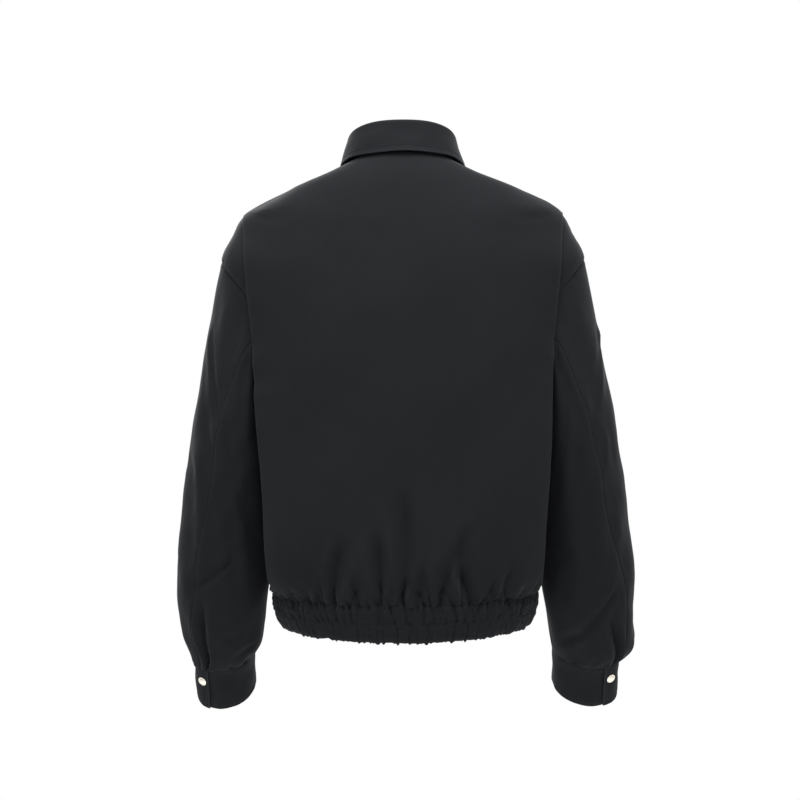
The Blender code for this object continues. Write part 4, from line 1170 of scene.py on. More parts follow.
def woven_tape():
    """Black woven polyester zip tape: flat, close ribs across it and a slight gloss."""
    stuff, tree = new_material("woven_tape")
    grain = node(tree, "ShaderNodeUVMap", {"uv_map": "Grain"})
    # The tape's ribs are 0.5 mm apart, drawn 1 mm apart so that they show.
    rib_pitch = 1.0 * MM
    ribs = node(tree, "ShaderNodeTexWave", {"wave_type": "BANDS", "bands_direction": "Y"}, {
        "Vector": grain, "Scale": 2 * math.pi / (20 * rib_pitch),
    })
    pattern = ribs.outputs["Fac"]
    colours = linear("#0b0c0e"), linear("#151619")
    relief = (pattern, 0.4, 0.2 * MM)
    return patterned(stuff, pattern, colours, (0.7, 0.85), relief, {"Specular IOR Level": 0.15})


def plated_metal(name, colours, rough, scale):
    """Metal with a thin plating that handling has dulled unevenly: its colour and its gloss wander over a
    few millimetres, with fine scratches."""
    stuff, tree = new_material(name)
    place = node(tree, "ShaderNodeTexCoord")
    cloud = node(tree, "ShaderNodeTexNoise", inputs={
        "Vector": place.outputs["Object"], "Scale": scale, "Detail": 5.0, "Roughness": 0.6,
    })
    stretch = node(tree, "ShaderNodeMapping", inputs={
        "Vector": place.outputs["Object"], "Scale": (3000.0, 300.0, 300.0),
    })
    scratch = node(tree, "ShaderNodeTexNoise", inputs={"Vector": stretch, "Scale": 1.0})
    return patterned(stuff, cloud, colours, rough, (scratch, 0.12, 0.05 * MM), {"Metallic": 1.0})


def studio_white():
    """Matt white paint on a smooth studio floor, faintly uneven where it was rolled on."""
    stuff, tree = new_material("studio_white")
    place = node(tree, "ShaderNodeTexCoord")
    roll = node(tree, "ShaderNodeTexNoise", inputs={"Vector": place.outputs["Object"], "Scale": 3.0})
    colour = node(tree, "ShaderNodeMix", {"data_type": "RGBA"}, {
        "Factor": roll, "A": (*linear("#e6e6e6"), 1), "B": (*linear("#f2f2f2"), 1),
    })
    return surface_of(stuff, {"Base Color": colour, "Roughness": 0.9})


def stuff_for(scene, name):
    """The material of that name, made when it is first asked for."""
    snap_colour = scene.jacket_metal.snap_colour
    makers = {
        "dyed_cotton_twill": lambda: dyed_cotton_twill(scene.jacket_cloth),
        "spun_thread": spun_thread,
        "woven_tape": woven_tape,
        "blackened_metal": lambda: plated_metal(
            "blackened_metal", (linear("#161618"), linear("#2b2c30")), (0.32, 0.52), 400.0),
        "pale_plated_metal": lambda: plated_metal(
            "pale_plated_metal", (tuple(0.8 * c for c in snap_colour), tuple(snap_colour)), (0.16, 0.32),
            500.0),
        "studio_white": studio_white,
    }
    return bpy.data.materials.get(name) or makers[name]()


# ---- Pieces ----
def on_side(side, *fields):
    """Points or directions worked out for the wearer's left, brought to the side asked for."""
    return [field * (side, 1, 1) for field in fields]


def both_halves(left, sign=1):
    """A grid of the left half and its mirror image as one grid, joined at the last column."""
    return np.concatenate([left, left[:, -2::-1] * sign], axis=1)


def hang(cloth, table, seed, point, above):
    """Folds and broad waves of a body panel, at its points. The folds are shallower at the waistband's
    seam, which holds the cloth, and nothing moves at the shoulder's and the side's seam."""
    held = HEM_HOLD + (1 - HEM_HOLD) * ease(above / (18 * MM))
    across, down = point[..., 0] / MM, -point[..., 2] / MM
    drift = waves(seed, across, 0.45 * down, 60, 150)
    drift += SMALL_WAVES * waves(seed + 1, across, 0.6 * down, 16, 40)
    height = cloth.fold_depth * folds(table, across, down) * held
    height += cloth.drift * drift * ease(above / (40 * MM))
    return height * ease(np.abs(point[..., 1]) / SEAM_CALM)


PLEAT_STARTS = (2.7, 0.5)  # row below which the seam's turning widens into the pleat, over how many rows
PLEAT_RADIUS = (0.9 * MM, 0.4 * MM)  # of the folded edge along the shoulder, and how much more in the pleat
PLEAT_STRIP = (4.0 * MM, 23.0 * MM)  # width of the strip turned under, and how much more in the pleat
PLEAT_TURN = np.radians([180, 150, 120, 90, 60, 30])  # the grid's lines round the folded edge
PLEAT_UNDER = np.array([1.0, 0.66, 0.33, 0.12])  # and on the strip, as shares of its width
PLEAT_TOP = ((1.3, 0), (2.2, 0), (3.4, 0), (4.3, 0), (5.0, 0), (5.7, 0), (6.8, 0))  # and beside it on top


def make_back(scene):
    """The centre back: a patch of the torso. Along each side the sheet goes round a half circle and back
    underneath, as a pleat pressed under, and only a seam's width of it along the shoulder."""
    cloth, sewing = scene.jacket_cloth, scene.jacket_sewing
    rows, row_drop = row_numbers(
        torso, math.pi / 2, 0, HEM_ROW, RAW_EDGE, gathered_edge(CLOTH), cloth.mesh_pitch)
    section = torso_at(rows)
    edge = np.minimum(section["pleat_edge"], section["half_width"])
    start = np.maximum(angle_at(edge, rows), SEAM / 2 / section["back"])
    pleated = ease((rows - PLEAT_STARTS[0]) / PLEAT_STARTS[1])[:, None]
    radius = PLEAT_RADIUS[0] + PLEAT_RADIUS[1] * pleated
    strip = PLEAT_STRIP[0] + PLEAT_STRIP[1] * pleated
    fine, run = lines_across(torso, start, np.full(len(rows), math.pi / 2), rows)
    under = radius + strip * PLEAT_UNDER
    over, _ = spaced(run[:, -1], PLEAT_TOP, ((0, 0),), cloth.mesh_pitch * ACROSS)
    marks = np.concatenate([under, radius * (1 - np.sin(PLEAT_TURN)), over], axis=1)
    drop = np.concatenate([2 * radius + 0 * under, radius * (1 - np.cos(PLEAT_TURN)), 0 * over], axis=1)
    point, normal, angles, grid_rows = sampled(torso, rows, marks, run, fine)
    way = hem_turn(normal, angles)
    around = both_halves(round_hem(angles), -1)
    point, normal, way = (both_halves(field, MIRROR) for field in (point, normal, way))
    drop, marks, grid_rows = (both_halves(field) for field in (drop, marks, grid_rows))
    angles = np.concatenate([angles, math.pi - angles[:, -2::-1]], axis=1)
    above = above_hem(grid_rows)
    height = hang(cloth, BACK_FOLDS, 21, point, above) + hem_height(around, above, sewing)
    seam, wear_and_highlight = seams(point, {"bottom": 0.25}, 31, sewing)
    wear_and_highlight *= 0.3
    height = height * ease((grid_rows - BACK_CALM[0]) / BACK_CALM[1]) + seam
    drop = np.maximum(drop, row_drop[:, None])
    # The pleat's folded edge is paler, partly from rubbing and partly as a painted highlight, and less so
    # towards the hem.
    rubbed_and_lit = 1 - 0.7 * ease((grid_rows - 8) / 6)
    wear_and_highlight = np.maximum(wear_and_highlight, rubbed_and_lit * np.exp(-marks / (1.5 * MM)) * (drop < 2 * MM))
    middle = point + hem_lean(normal, angles, above) * height[..., None] - way * drop[..., None]
    middle = middle + hem_shift(angles, around, above)
    twill_piece(scene, "back_panel", "back", point, middle, normal, CLOTH, wear_and_highlight)


def side_rows(surface, angle, first, top_edge, pitch):
    """The rows of a side panel: even ones down to the armhole, then ones that follow the armhole's curve
    closely at its top and bottom, and even ones on to the hem. Also the edge's place and the drop."""
    turns = np.linspace(0, math.pi, HOLE_LINES)
    hole_rows = armhole_row(turns)
    upper, upper_drop = row_numbers(surface, angle, first, hole_rows[0], top_edge, ((0, 0),), pitch)
    lower, lower_drop = row_numbers(
        surface, angle, hole_rows[-1], HEM_ROW, ((0, 0),), gathered_edge(CLOTH), pitch)
    rows = np.concatenate([upper[:-1], hole_rows, lower[1:]])
    drop = np.concatenate([upper_drop[:-1], 0 * turns, lower_drop[1:]])
    edge = SEAM / 2 / torso_at(rows)["back"]
    inside = slice(len(upper) - 1, len(upper) - 1 + len(turns))
    return rows, drop, edge, inside, turns


def make_side(scene, side, back):
    """A side back or a front: a patch of the body from its own edge to the shoulder, armhole and side
    seam. Returns its outer face and that face's normals."""
    cloth, sewing = scene.jacket_cloth, scene.jacket_sewing
    sign = 1 if back else -1
    first = SIDE_BACK_TOP if back else 0.0
    rows, row_drop, edge, inside, turns = side_rows(
        body, sign * math.radians(30), first, HIDDEN_EDGE if back else RAW_EDGE, cloth.mesh_pitch)
    edge[inside] = np.maximum(sign * armhole_angle(sign * turns), edge[inside])
    sewn = turned_edge(CLOTH)
    pitch = cloth.mesh_pitch * ACROSS
    if back:
        section = torso_at(rows)
        start = angle_at(np.minimum(section["pleat_edge"], section["half_width"]) - 28 * MM, rows)
        layout = patch(body, start, edge, rows, row_drop, HIDDEN_EDGE, sewn, pitch)
    else:
        layout = patch(body, -angle_at(ZIP_GAP, rows), -edge, rows, row_drop, STITCHED_EDGE, sewn, pitch)
    point, normal, angles, grid_rows, drop = layout
    from_start = run_along(point, 1)
    from_stop, _ = nearest(point, point[:, -1])
    way = hem_turn(normal, angles)
    from_hole, hole_run = nearest(point, point[inside, -1])
    beside, deep = np.transpose(sewn) * MM
    sewn_on = from_hole < beside[-1]
    turn_at = np.interp(hole_run, run_along(point[inside, -1], 0), turns)
    way[sewn_on] = armhole_turn(sign * turn_at[sewn_on])
    drop = np.maximum(drop, np.where(sewn_on, np.interp(from_hole, beside, deep), 0))
    around, above = side * round_hem(angles), above_hem(grid_rows)
    lean = hem_lean(normal, angles, above)
    point, normal, way, lean = on_side(side, point, normal, way, lean)
    table, seed = (BACK_FOLDS, 21) if back else (FRONT_FOLDS, 23)
    height = hang(cloth, table, seed, point, above) + hem_height(around, above, sewing)
    seam, wear_and_highlight = seams(point, {"stop": 1.0, "bottom": 0.25}, 33 + 2 * side + back, sewing)
    if back:
        height = height + seam
        wear_and_highlight *= 0.35
    else:
        calm = ease((grid_rows - FRONT_CALM[0]) / FRONT_CALM[1]) * ease(from_stop / ARMHOLE_CALM)
        calm *= ease((from_start - ZIP_CALM[0]) / ZIP_CALM[1])
        height = height * calm + seam * ease(grid_rows / 0.5) + groove(from_start - STITCH_INSET, sewing)
        wear_and_highlight = np.maximum(0.35 * wear_and_highlight, 0.5 * np.exp(-from_start / RUBBED))
    middle = point + lean * height[..., None] - way * drop[..., None]
    middle = middle + hem_shift(angles, around, above) * (side, 1, 1)
    kind = "side_back" if back else "front"
    return twill_piece(
        scene, f"{SIDES[side]}_{kind}_panel", f"{kind}_{SIDES[side]}", point, middle, normal, CLOTH, wear_and_highlight)


def make_fronts(scene):
    """The two fronts, and a row of stitches beside the zip on each."""
    sheets = [make_side(scene, side, back=False) for side in SIDES]
    stitch_lines(scene, "front_stitching", [
        [field[4:-6, STITCH_LINE] for field in sheet] for sheet in sheets
    ])


def make_sleeve(scene, side):
    """The two halves of a sleeve: patches of the sleeve surface between its two seams."""
    cloth, sewing = scene.jacket_cloth, scene.jacket_sewing
    surface = sleeve_of(side)
    sewn = turned_edge(CLOTH)
    rows, row_drop = row_numbers(
        surface, math.pi / 2, 0, CUFF_RING, sewn, gathered_edge(CLOTH), cloth.mesh_pitch)
    at = reading(SLEEVES[side], SLEEVE_COLUMNS, rows)
    seam_turn = np.radians(at["seam_" + SIDES[side]])
    gap = SLEEVE_SEAM / at["depth"]
    under_seam = np.full(len(rows), UNDER_SEAM)
    fine = np.linspace(0, CUFF_RING, FINE)
    back_run = run_along(surface(np.full(FINE, math.pi / 2), fine), 0)
    spans = {
        "upper": (under_seam - 2 * math.pi + gap, seam_turn - gap),
        "under": (seam_turn + gap, under_seam - gap),
    }
    seed = 41 if side > 0 else 43
    for kind, (start, stop) in spans.items():
        point, normal, turns, grid_rows, drop = patch(
            surface, start, stop, rows, row_drop, sewn, sewn, cloth.mesh_pitch * SLEEVE_ACROSS)
        around = (np.degrees(turns) - 90) * SLEEVE_ARC
        down = np.interp(grid_rows, fine, back_run) / MM
        way = normal.copy()
        way[:SEWN_EDGE_STEPS] = armhole_turn(turns[0])
        wrist = outward(wrist_of(side), turns[-1], 0 * turns[-1])
        way[-SEWN_EDGE_STEPS:] = between(normal[-1], wrist)
        point, normal, way = on_side(side, point, normal, way)
        closed = 180 * SLEEVE_ARC * np.sin(np.radians(around / SLEEVE_ARC))  # the same after a full turn
        drift = waves(seed, closed, down, 60, 140) + SMALL_WAVES * waves(seed + 1, around, down, 16, 40)
        height = cloth.fold_depth * folds(SLEEVE_FOLDS[side], around, down) + cloth.drift * drift
        height = height * ease(down / SLEEVE_HELD) * ease((SLEEVE_CALM[0] - down) / SLEEVE_CALM[1])
        height += eased_end(turns, down, seed)
        edges = {"start": 0.5, "stop": 0.5, "top": 0.9, "bottom": 0.3}
        seam, wear_and_highlight = seams(point, edges, seed + 3, sewing)
        wear_and_highlight *= 0.25
        middle = point + normal * (height + seam)[..., None] - way * drop[..., None]
        middle = middle + cuff_shift(turns, side, (back_run[-1] / MM - down) * MM) * (side, 1, 1)
        twill_piece(
            scene, f"{SIDES[side]}_{kind}_sleeve", f"sleeve_{kind}_{SIDES[side]}", point, middle, normal,
            CLOTH, wear_and_highlight)


def cuff_shift(turns, side, away):
    """Near the cuff's seam the cloth stands out behind by the square of the sine, so that the sleeve flows
    into the cuff."""
    out = outward(wrist_of(side), turns, 0 * turns)
    return out * (CUFF_FULLNESS * np.sin(turns) ** 2 * hump(away / CUFF_REACH))[..., None]


def eased_end(turns, down, seed):
    """Small gathers where the sleeve is eased into the cuff: uneven waves round it that fade upward."""
    ripple = waves(seed + 7, np.degrees(turns) * 0.75, 0 * down, 8, 18, 6)
    return 0.7 * MM * ripple * np.exp(-np.clip(SLEEVE_EASED[0] - down, 0, None) / SLEEVE_EASED[1])


CUFF_PITCH = (1.9 * MM, 2.0 * MM)  # distance between the cuff's points, down it and round it
CUFF_REACH = 13 * MM  # distance over which what the cuff's seam and its snap do to the cloth fades out
CUFF_TOP_STITCH = 6.5 * MM  # from the cuff's seam to the row of stitches below it


def make_cuff(scene, side):
    """A cuff: a patch of the cuff surface that overlaps itself, stitched round its edges, and its snap."""
    sewing = scene.jacket_sewing
    surface = wrist_of(side)
    first = -CUFF_SEAM_GAP / CUFF_HEIGHT
    rows, row_drop = row_numbers(
        surface, math.pi / 2, first, 1, gathered_edge(DOUBLE), STITCHED_EDGE, CUFF_PITCH[0])
    start = np.full(len(rows), CUFF_END + 2 * math.pi)
    stop = np.full(len(rows), CUFF_END - CUFF_OVERLAP)
    point, normal, turns, downs, drop = patch(
        surface, start, stop, rows, row_drop, STITCHED_EDGE, HIDDEN_EDGE, CUFF_PITCH[1])
    from_end = run_along(point, 1)
    from_hem = run_along(point[::-1], 0)[::-1]
    from_seam = run_along(point, 0)
    outline = np.minimum(from_hem, from_end)
    snap_spot = surface(np.array(SNAP_TURN + 2 * math.pi), np.array(SNAP_DOWN))
    flat = 1 - hump(np.linalg.norm(point - snap_spot, axis=-1) / CUFF_REACH)
    way = normal.copy()
    forearm = outward(sleeve_of(side), turns[0], CUFF_RING + 0 * turns[0])
    way[:SEWN_EDGE_STEPS] = between(normal[0], forearm)
    point, normal, way = on_side(side, point, normal, way)
    around, down = from_end / MM, from_seam / MM
    seed = 51 if side > 0 else 53
    height = 0.55 * MM * waves(seed, around, down, 22, 60) * flat * ease(from_end / (30 * MM))
    height += 0.16 * MM * waves(seed + 1, around, down, 7, 16) * np.exp(-outline / (9 * MM))
    height += groove(outline - STITCH_INSET, sewing) + 0.5 * groove(from_seam - CUFF_TOP_STITCH, sewing)
    height -= (DOUBLE - CLOTH) / 2 * (1 - ease(from_seam / (14 * MM)))
    seam, wear_and_highlight = seams(point, {"top": 0.2}, seed + 3, sewing)
    wear_and_highlight = np.maximum(0.4 * wear_and_highlight, np.exp(-outline / RUBBED))
    middle = point + normal * (height + seam)[..., None] - way * drop[..., None]
    middle = middle + cuff_shift(turns, side, from_seam) * (side, 1, 1)
    middle[..., 2] += CUFF_SWING * np.cos(2 * turns) * ease(downs) * np.where(np.sin(turns) > 0, 1, 0.3)
    outer, out = twill_piece(
        scene, f"{SIDES[side]}_cuff", f"cuff_{SIDES[side]}", point, middle, normal, DOUBLE, wear_and_highlight)
    top = int(np.argmin(np.abs(from_seam[:, 40] - CUFF_TOP_STITCH)))
    hem = -1 - STITCH_LINE
    places = (np.s_[hem, STITCH_LINE:-2], np.s_[top, STITCH_LINE:-2], np.s_[top:hem, STITCH_LINE])
    stitch_lines(scene, f"{SIDES[side]}_cuff_stitching", [(outer[at], out[at]) for at in places])
    make_snap(scene, side)


# A snap's cap from its rim to its middle: a share of its radius, and a height in millimetres.
SNAP_PROFILE = (
    (0.90, -0.10), (0.97, 0.05), (1.0, 0.45), (0.985, 0.75), (0.94, 0.98), (0.88, 1.06), (0.82, 1.0),
    (0.785, 0.86), (0.76, 0.82), (0.735, 0.90), (0.70, 1.10), (0.62, 1.42), (0.50, 1.75), (0.34, 2.05),
    (0.17, 2.22), (0.001, 2.28),
)


def make_snap(scene, side):
    """A snap's cap, turned about its axis: a rolled rim, a narrow groove and a low dome."""
    surface = wrist_of(side)
    turn, down = np.array(SNAP_TURN + 2 * math.pi), np.array(SNAP_DOWN)
    normal = outward(surface, turn, down)
    base = surface(turn, down) + normal * (DOUBLE / 2 + 0.1 * MM)
    flat = np.cross(normal, (0, 0, 1))
    flat = flat / np.linalg.norm(flat)
    upright = np.cross(normal, flat)
    profile = np.array(SNAP_PROFILE) * (scene.jacket_metal.snap_width / 2, MM)
    sides = 48
    cosine, sine = circle(sides)
    spoke = flat * cosine[:, None] + upright * sine[:, None]
    points = base + profile[:, 0, None, None] * spoke[None] + profile[:, 1, None, None] * normal
    thing = mesh_object(
        f"{SIDES[side]}_snap_cap", points.reshape(-1, 3) * (side, 1, 1),
        tube(np.arange(len(profile) * sides).reshape(-1, sides)), stuff_for(scene, "pale_plated_metal"))
    declare(thing, f"snap_{SIDES[side]}")


BAND_PITCH = (1.5 * MM, 1.25 * MM)  # distance between the band's points, down it and round it
BAND_PUFF = (1.3 * MM, 1.5 * MM)  # how far its upper and its lower channel stand out
PUFF_POWER = 0.7
BAND_SAG = (2.4 * MM, 0.7 * MM)  # unevenness of its lower edge, with the fine gathers and in broad waves
BAND_GATHERED = 1.25  # the casing was cut so many times as long as it is round the hem


def make_waistband(scene):
    """The elastic casing: a patch of the waistband surface, in two channels that puff out between the
    seam, the row of stitches along its middle and its lower edge, with coarse gathers that come down
    from the body in the upper one, fine ones in the lower one, and a scalloped lower edge."""
    sewing = scene.jacket_sewing
    first = -BAND_SEAM_GAP / BAND_HEIGHT
    rows, row_drop = row_numbers(
        waistband, math.pi / 2, first, 1, gathered_edge(BAND_WALL), RAW_EDGE, BAND_PITCH[0])
    opening = float(angle_at(ZIP_GAP, float(HEM_ROW)))
    start, stop = np.full(len(rows), math.pi + opening), np.full(len(rows), -opening)
    point, normal, angles, downs, drop = patch(
        waistband, start, stop, rows, row_drop, RAW_EDGE, RAW_EDGE, BAND_PITCH[1])
    way = normal.copy()
    way[:SEWN_EDGE_STEPS] = between(normal[0], outward(torso, angles[0], HEM_ROW + 0 * angles[0]))
    on_right = angles > math.pi / 2
    around = np.where(on_right, -1, 1) * round_hem(np.where(on_right, math.pi - angles, angles))
    length = run_along(point, 0)[-1].mean()
    upper = np.sin(math.pi * np.clip(downs / 0.5, 0, 1))
    lower = np.sin(math.pi * np.clip((downs - 0.5) / 0.5, 0, 1))
    wobble = 0.8 * MM * waves(61, around / MM, downs * 47, 9, 26) * ease(downs / 0.3)
    # The gathers of the body come down into the upper channel, and fine ones take over in the lower one.
    coarse = hem_height(around + wobble, -downs * length, sewing) / sewing.gather_depth
    fine = gather_height(FINE_GATHERS, around + wobble, -downs * length, 1.15 * MM, 42 * MM)
    mix = ease((downs - 0.40) / 0.16)
    gathers = coarse * (1 - mix) * (0.9 - 0.55 * upper) + fine * mix * (0.25 + 0.25 * lower)
    gathers += 0.3 * fine * (1 - mix) * upper
    gathers += 0.15 * waves(66, around / MM, downs * length / MM, 6, 17) * ease(downs / 0.15)
    # The body's folds run on over the seam and fade out in the upper channel.
    at_seam = torso(angles, HEM_ROW + 0 * angles)
    across, deep = at_seam[..., 0] / MM, -at_seam[..., 2] / MM
    carried = np.where(np.sin(angles) > 0, folds(BACK_FOLDS, across, deep), folds(FRONT_FOLDS, across, deep))
    carried *= ease(np.abs(at_seam[..., 1]) / SEAM_CALM) * scene.jacket_cloth.fold_depth * HEM_HOLD
    height = BAND_PUFF[0] * np.abs(upper) ** PUFF_POWER + BAND_PUFF[1] * np.abs(lower) ** PUFF_POWER
    height -= (BAND_WALL - CLOTH) / 2
    # Beside the zip the band lies flat, but for a little unevenness low down.
    run = run_along(point, 1)
    ends = ease((np.minimum(run, run[:, -1:] - run) - ZIP_CALM[0]) / ZIP_CALM[1])
    loose = ends + (1 - ends) * 0.3 * ease(downs / 0.3)
    height += (sewing.gather_depth * gathers + carried * (1 - ease(downs / 0.5))) * loose
    stitch_row = int(np.argmin(np.abs(rows - 0.5)))
    from_stitch = np.abs(downs - rows[stitch_row]) * length
    height += groove(from_stitch, sewing) * 1.2
    seam, wear_and_highlight = seams(point, {"top": 0.25}, 63, sewing)
    wear_and_highlight *= 0.3
    hem = ease((downs - 0.80) / 0.20)
    sag = BAND_SAG[0] * fine + BAND_SAG[1] * waves(65, around / MM, 0 * downs, 14, 40)
    middle = point + normal * (height + seam)[..., None] - way * drop[..., None]
    middle = middle + hem_shift(angles, around, downs * length)
    middle[..., 2] += sag * hem * loose
    wear_and_highlight = np.maximum(wear_and_highlight, 0.8 * np.exp(-(1 - downs) * length / (2 * MM)))
    outer, out = twill_piece(
        scene, "waistband_casing", "waistband", point, middle, normal, BAND_WALL, wear_and_highlight, held="gathered",
        fullness=BAND_GATHERED)
    stitch_lines(scene, "waistband_stitching", [(outer[stitch_row, 4:-4], out[stitch_row, 4:-4])])


COLLAR_PITCH = (1.6 * MM, 2.0 * MM)  # distance between the collar's points, up it and round it
STITCH_STARTS = 1.12  # how far up, counted as the collar's surface does, its front stitches start


def make_collar(scene):
    """The collar: its left half laid out from the centre back to the front edge, and mirrored. Soft waves
    run along the fall, and its edge is stitched."""
    sewing = scene.jacket_sewing
    front = -float(angle_at(ZIP_GAP, 0.0))
    fine = np.linspace(math.pi / 2, front, FINE)
    run = run_along(collar(fine, np.full(FINE, 2.0)), 0)
    marks, _ = spaced(run[-1], ((0, 0),), STITCHED_EDGE, COLLAR_PITCH[1])
    angles = np.interp(marks[0], run, fine)
    ups_fine = np.linspace(0, 2, FINE)
    up_run = run_along(collar(np.full(FINE, math.pi / 2), ups_fine), 0)
    up_marks, _ = spaced(up_run[-1], RAW_EDGE, STITCHED_EDGE, COLLAR_PITCH[0])
    ups = np.interp(up_marks[0], up_run, ups_fine)
    grid_angles, grid_ups = np.meshgrid(angles, ups)
    left = collar(grid_angles, grid_ups)
    point = np.concatenate([left[:, :0:-1] * MIRROR, left], axis=1)
    grid_ups = np.concatenate([grid_ups[:, :0:-1], grid_ups], axis=1)
    if point.shape[1] % 2 == 0:
        raise RuntimeError("the collar's grid needs an odd number of columns")
    normal = grid_normals(point)
    centre = point.shape[1] // 2
    if normal[-10, centre, 1] < 0:
        normal = -normal
    from_edge = run_along(point[::-1], 0)[::-1]
    from_front = np.minimum(run_along(point, 1), run_along(point[:, ::-1], 1)[:, ::-1])
    outline = np.minimum(from_edge, from_front)
    along = run_along(point[-1][:, None], 0)[:, 0]
    along = np.broadcast_to((along - along[centre]) / MM, outline.shape)
    fall = ease((grid_ups - 1.05) / 0.5)
    height = 0.9 * MM * waves(71, along, from_edge / MM, 40, 110) * fall
    height *= ease(from_front / (40 * MM)) * 0.8 + 0.2
    height += 0.15 * MM * waves(72, along, from_edge / MM, 7, 16) * np.exp(-outline / (9 * MM))
    height += groove(outline - STITCH_INSET, sewing) * fall
    middle = point + normal * height[..., None]
    wear_and_highlight = np.maximum(np.exp(-outline / RUBBED), 0.6 * hump((grid_ups - 1) / 0.06))
    outer, out = twill_piece(
        scene, "collar_leaf", "collar", point, middle, normal, DOUBLE, wear_and_highlight, held="folded")
    top = int(np.argmin(np.abs(ups - STITCH_STARTS)))
    edge = -1 - STITCH_LINE
    places = (np.s_[edge, STITCH_LINE:-STITCH_LINE], np.s_[top:edge, STITCH_LINE], np.s_[top:edge, edge])
    stitch_lines(scene, "collar_stitching", [(outer[at], out[at]) for at in places])


def front_line(across, rows, downs):
    """The line down the front at a distance from its centre, on the middle of the cloth."""
    angles = -angle_at(across, rows)
    hem = -float(angle_at(across, float(HEM_ROW))) + 0 * downs
    return np.concatenate([
        torso(angles, rows) + hem_push(angles, above_hem(rows)),
        waistband(hem, downs) + hem_push(hem, downs * BAND_HEIGHT),
    ])


def zip_sink(rows):
    """How far below the fronts' cloth the zip lies at its rows, and then at its places on the waistband."""
    deeper = np.append(ease((rows - ZIP_BAND_ROW) / (ZIP_HEM_ROW - ZIP_BAND_ROW)), np.ones(len(ZIP_DOWNS)))
    return TAPE_SINK + (BAND_SINK - TAPE_SINK) * deeper


def make_tapes(scene):
    """The zip's two woven tapes, on lines down the front at even distances from its middle."""
    rows = np.linspace(ZIP_TOP_ROW, ZIP_HEM_ROW, ZIP_ROWS)
    offsets = np.linspace(TAPE_NEAR, TAPE_NEAR + TAPE_REACH, 13)
    lines = np.stack([front_line(offset, rows, ZIP_DOWNS) for offset in offsets], axis=1)
    normal = grid_normals(lines)
    if normal[0, 0, 1] > 0:
        normal = -normal
    point = lines - normal * zip_sink(rows)[:, None, None]
    for side, word in SIDES.items():
        tape, _, _ = cloth_object(
            f"{word}_zip_tape", *on_side(side, point, normal), TAPE, stuff_for(scene, "woven_tape"),
            np.zeros(point.shape[:2]))
        declare(tape, f"zip_tape_{word}")


# A tooth's four sections, from its foot on the cord to its tip: millimetres to the side, and shares of its
# own width and thickness. Then the corners of a section.
TOOTH_SECTIONS = ((-0.7, 0.75, 0.7), (0.3, 1.0, 1.0), (1.9, 0.85, 0.85), (2.4, 0.6, 0.5))
CORNERS = ((-1, -1), (1, -1), (1, 1), (-1, 1))
TOOTH_WIDTH = 0.24  # half a tooth's width as a share of the distance between two teeth of a side
CORD_SECTION = ((-2.3, -0.5), (2.3, -0.5), (2.3, 0.35), (-2.3, 0.35))  # corners of the cord, in millimetres
CHAIN_END = 1.5 * MM  # space between the last tooth and the cord's end


def make_teeth(scene):
    """The zip's chain: two rows of teeth that stand in each other's gaps, on a flat cord."""
    metal = scene.jacket_metal
    rows = np.linspace(CHAIN_TOP_ROW, ZIP_HEM_ROW, ZIP_ROWS)
    centre = front_line(NUDGE, rows, ZIP_DOWNS) * (0, 1, 1)
    slope = np.gradient(centre, axis=0)
    slope /= np.linalg.norm(slope, axis=1, keepdims=True)
    out = np.cross(slope, (1, 0, 0))
    if out[0, 1] > 0:
        out = -out
    centre = centre - out * zip_sink(rows)[:, None]
    run = run_along(centre, 0)
    marks = np.arange(CHAIN_END, run[-1] - CHAIN_END, metal.tooth_pitch / 2)
    place, ahead, up = (points_at(marks, run, line) for line in (centre, slope, out))
    side = np.where(np.arange(len(marks)) % 2 == 0, 1.0, -1.0)[:, None, None]
    corners = np.array([
        (x, y * wide, z * thick) for x, wide, thick in TOOTH_SECTIONS for y, z in CORNERS
    ]) * (MM, metal.tooth_pitch * TOOTH_WIDTH, 1.0 * MM)
    points = (
        place[:, None] + corners[None, :, 0:1] * side * np.array([1.0, 0, 0])
        + corners[None, :, 1:2] * ahead[:, None] + corners[None, :, 2:3] * up[:, None]
    )
    block = np.concatenate(tube(np.arange(len(corners)).reshape(-1, 4)))
    faces = np.where(side > 0, block[None], block[None, :, ::-1])
    faces = faces + (np.arange(len(marks)) * len(corners))[:, None, None]
    if side[0, 0, 0] * np.cross(ahead[0], up[0])[0] > 0:
        faces = faces[:, :, ::-1]
    points = points.reshape(-1, 3)
    cord = np.stack([centre + out * (z * MM) + np.array([x * MM, 0, 0]) for x, z in CORD_SECTION], axis=1)
    bars = np.concatenate(tube(np.arange(cord.shape[0] * 4).reshape(-1, 4) + len(points)))
    thing = mesh_object(
        "zip_teeth", np.concatenate([points, cord.reshape(-1, 3)]), [faces.reshape(-1, 4), bars],
        stuff_for(scene, "blackened_metal"))
    thing.data.set_sharp_from_angle(angle=math.radians(35))
    declare(thing, "zip_chain")


def finish_slider(scene):
    """The slider and its pull keep their CAD shape and get the blackened metal."""
    for name in ("zip_slider", "zip_pull"):
        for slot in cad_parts[name].material_slots:
            slot.material = stuff_for(scene, "blackened_metal")


# ---- Stage ----
FLOOR_RADIUS = 2.4
FLOOR_THICKNESS = 0.01
AIM = np.array([0, 0, -0.32])  # the lights point at the middle of the jacket
# Each light: its name, its place, the side of its square, and its share of the key light's power.
LIGHTS = (
    ("top_light", (0.0, 0.75, 1.45), 1.2, 2.4),
    ("left_light", (1.2, 2.7, 1.1), 1.0, 0.9),
    ("right_light", (-1.5, 2.4, 0.8), 1.0, 0.56),
    ("middle_light", (-0.3, 3.1, 0.9), 1.0, 0.15),
    ("front_left_light", (1.1, -2.5, 1.0), 1.2, 2.0),
    ("front_right_light", (-1.1, -2.6, 0.7), 1.2, 0.7),
)
CAMERA_PLACE = (0, 3.0, -0.305)
CAMERA_TURN = tuple(math.radians(angle) for angle in (90, 0.45, 180))
CAMERA_LENS, CAMERA_SENSOR = 103.9, 36  # in millimetres
CAMERA_SHIFT = -0.005


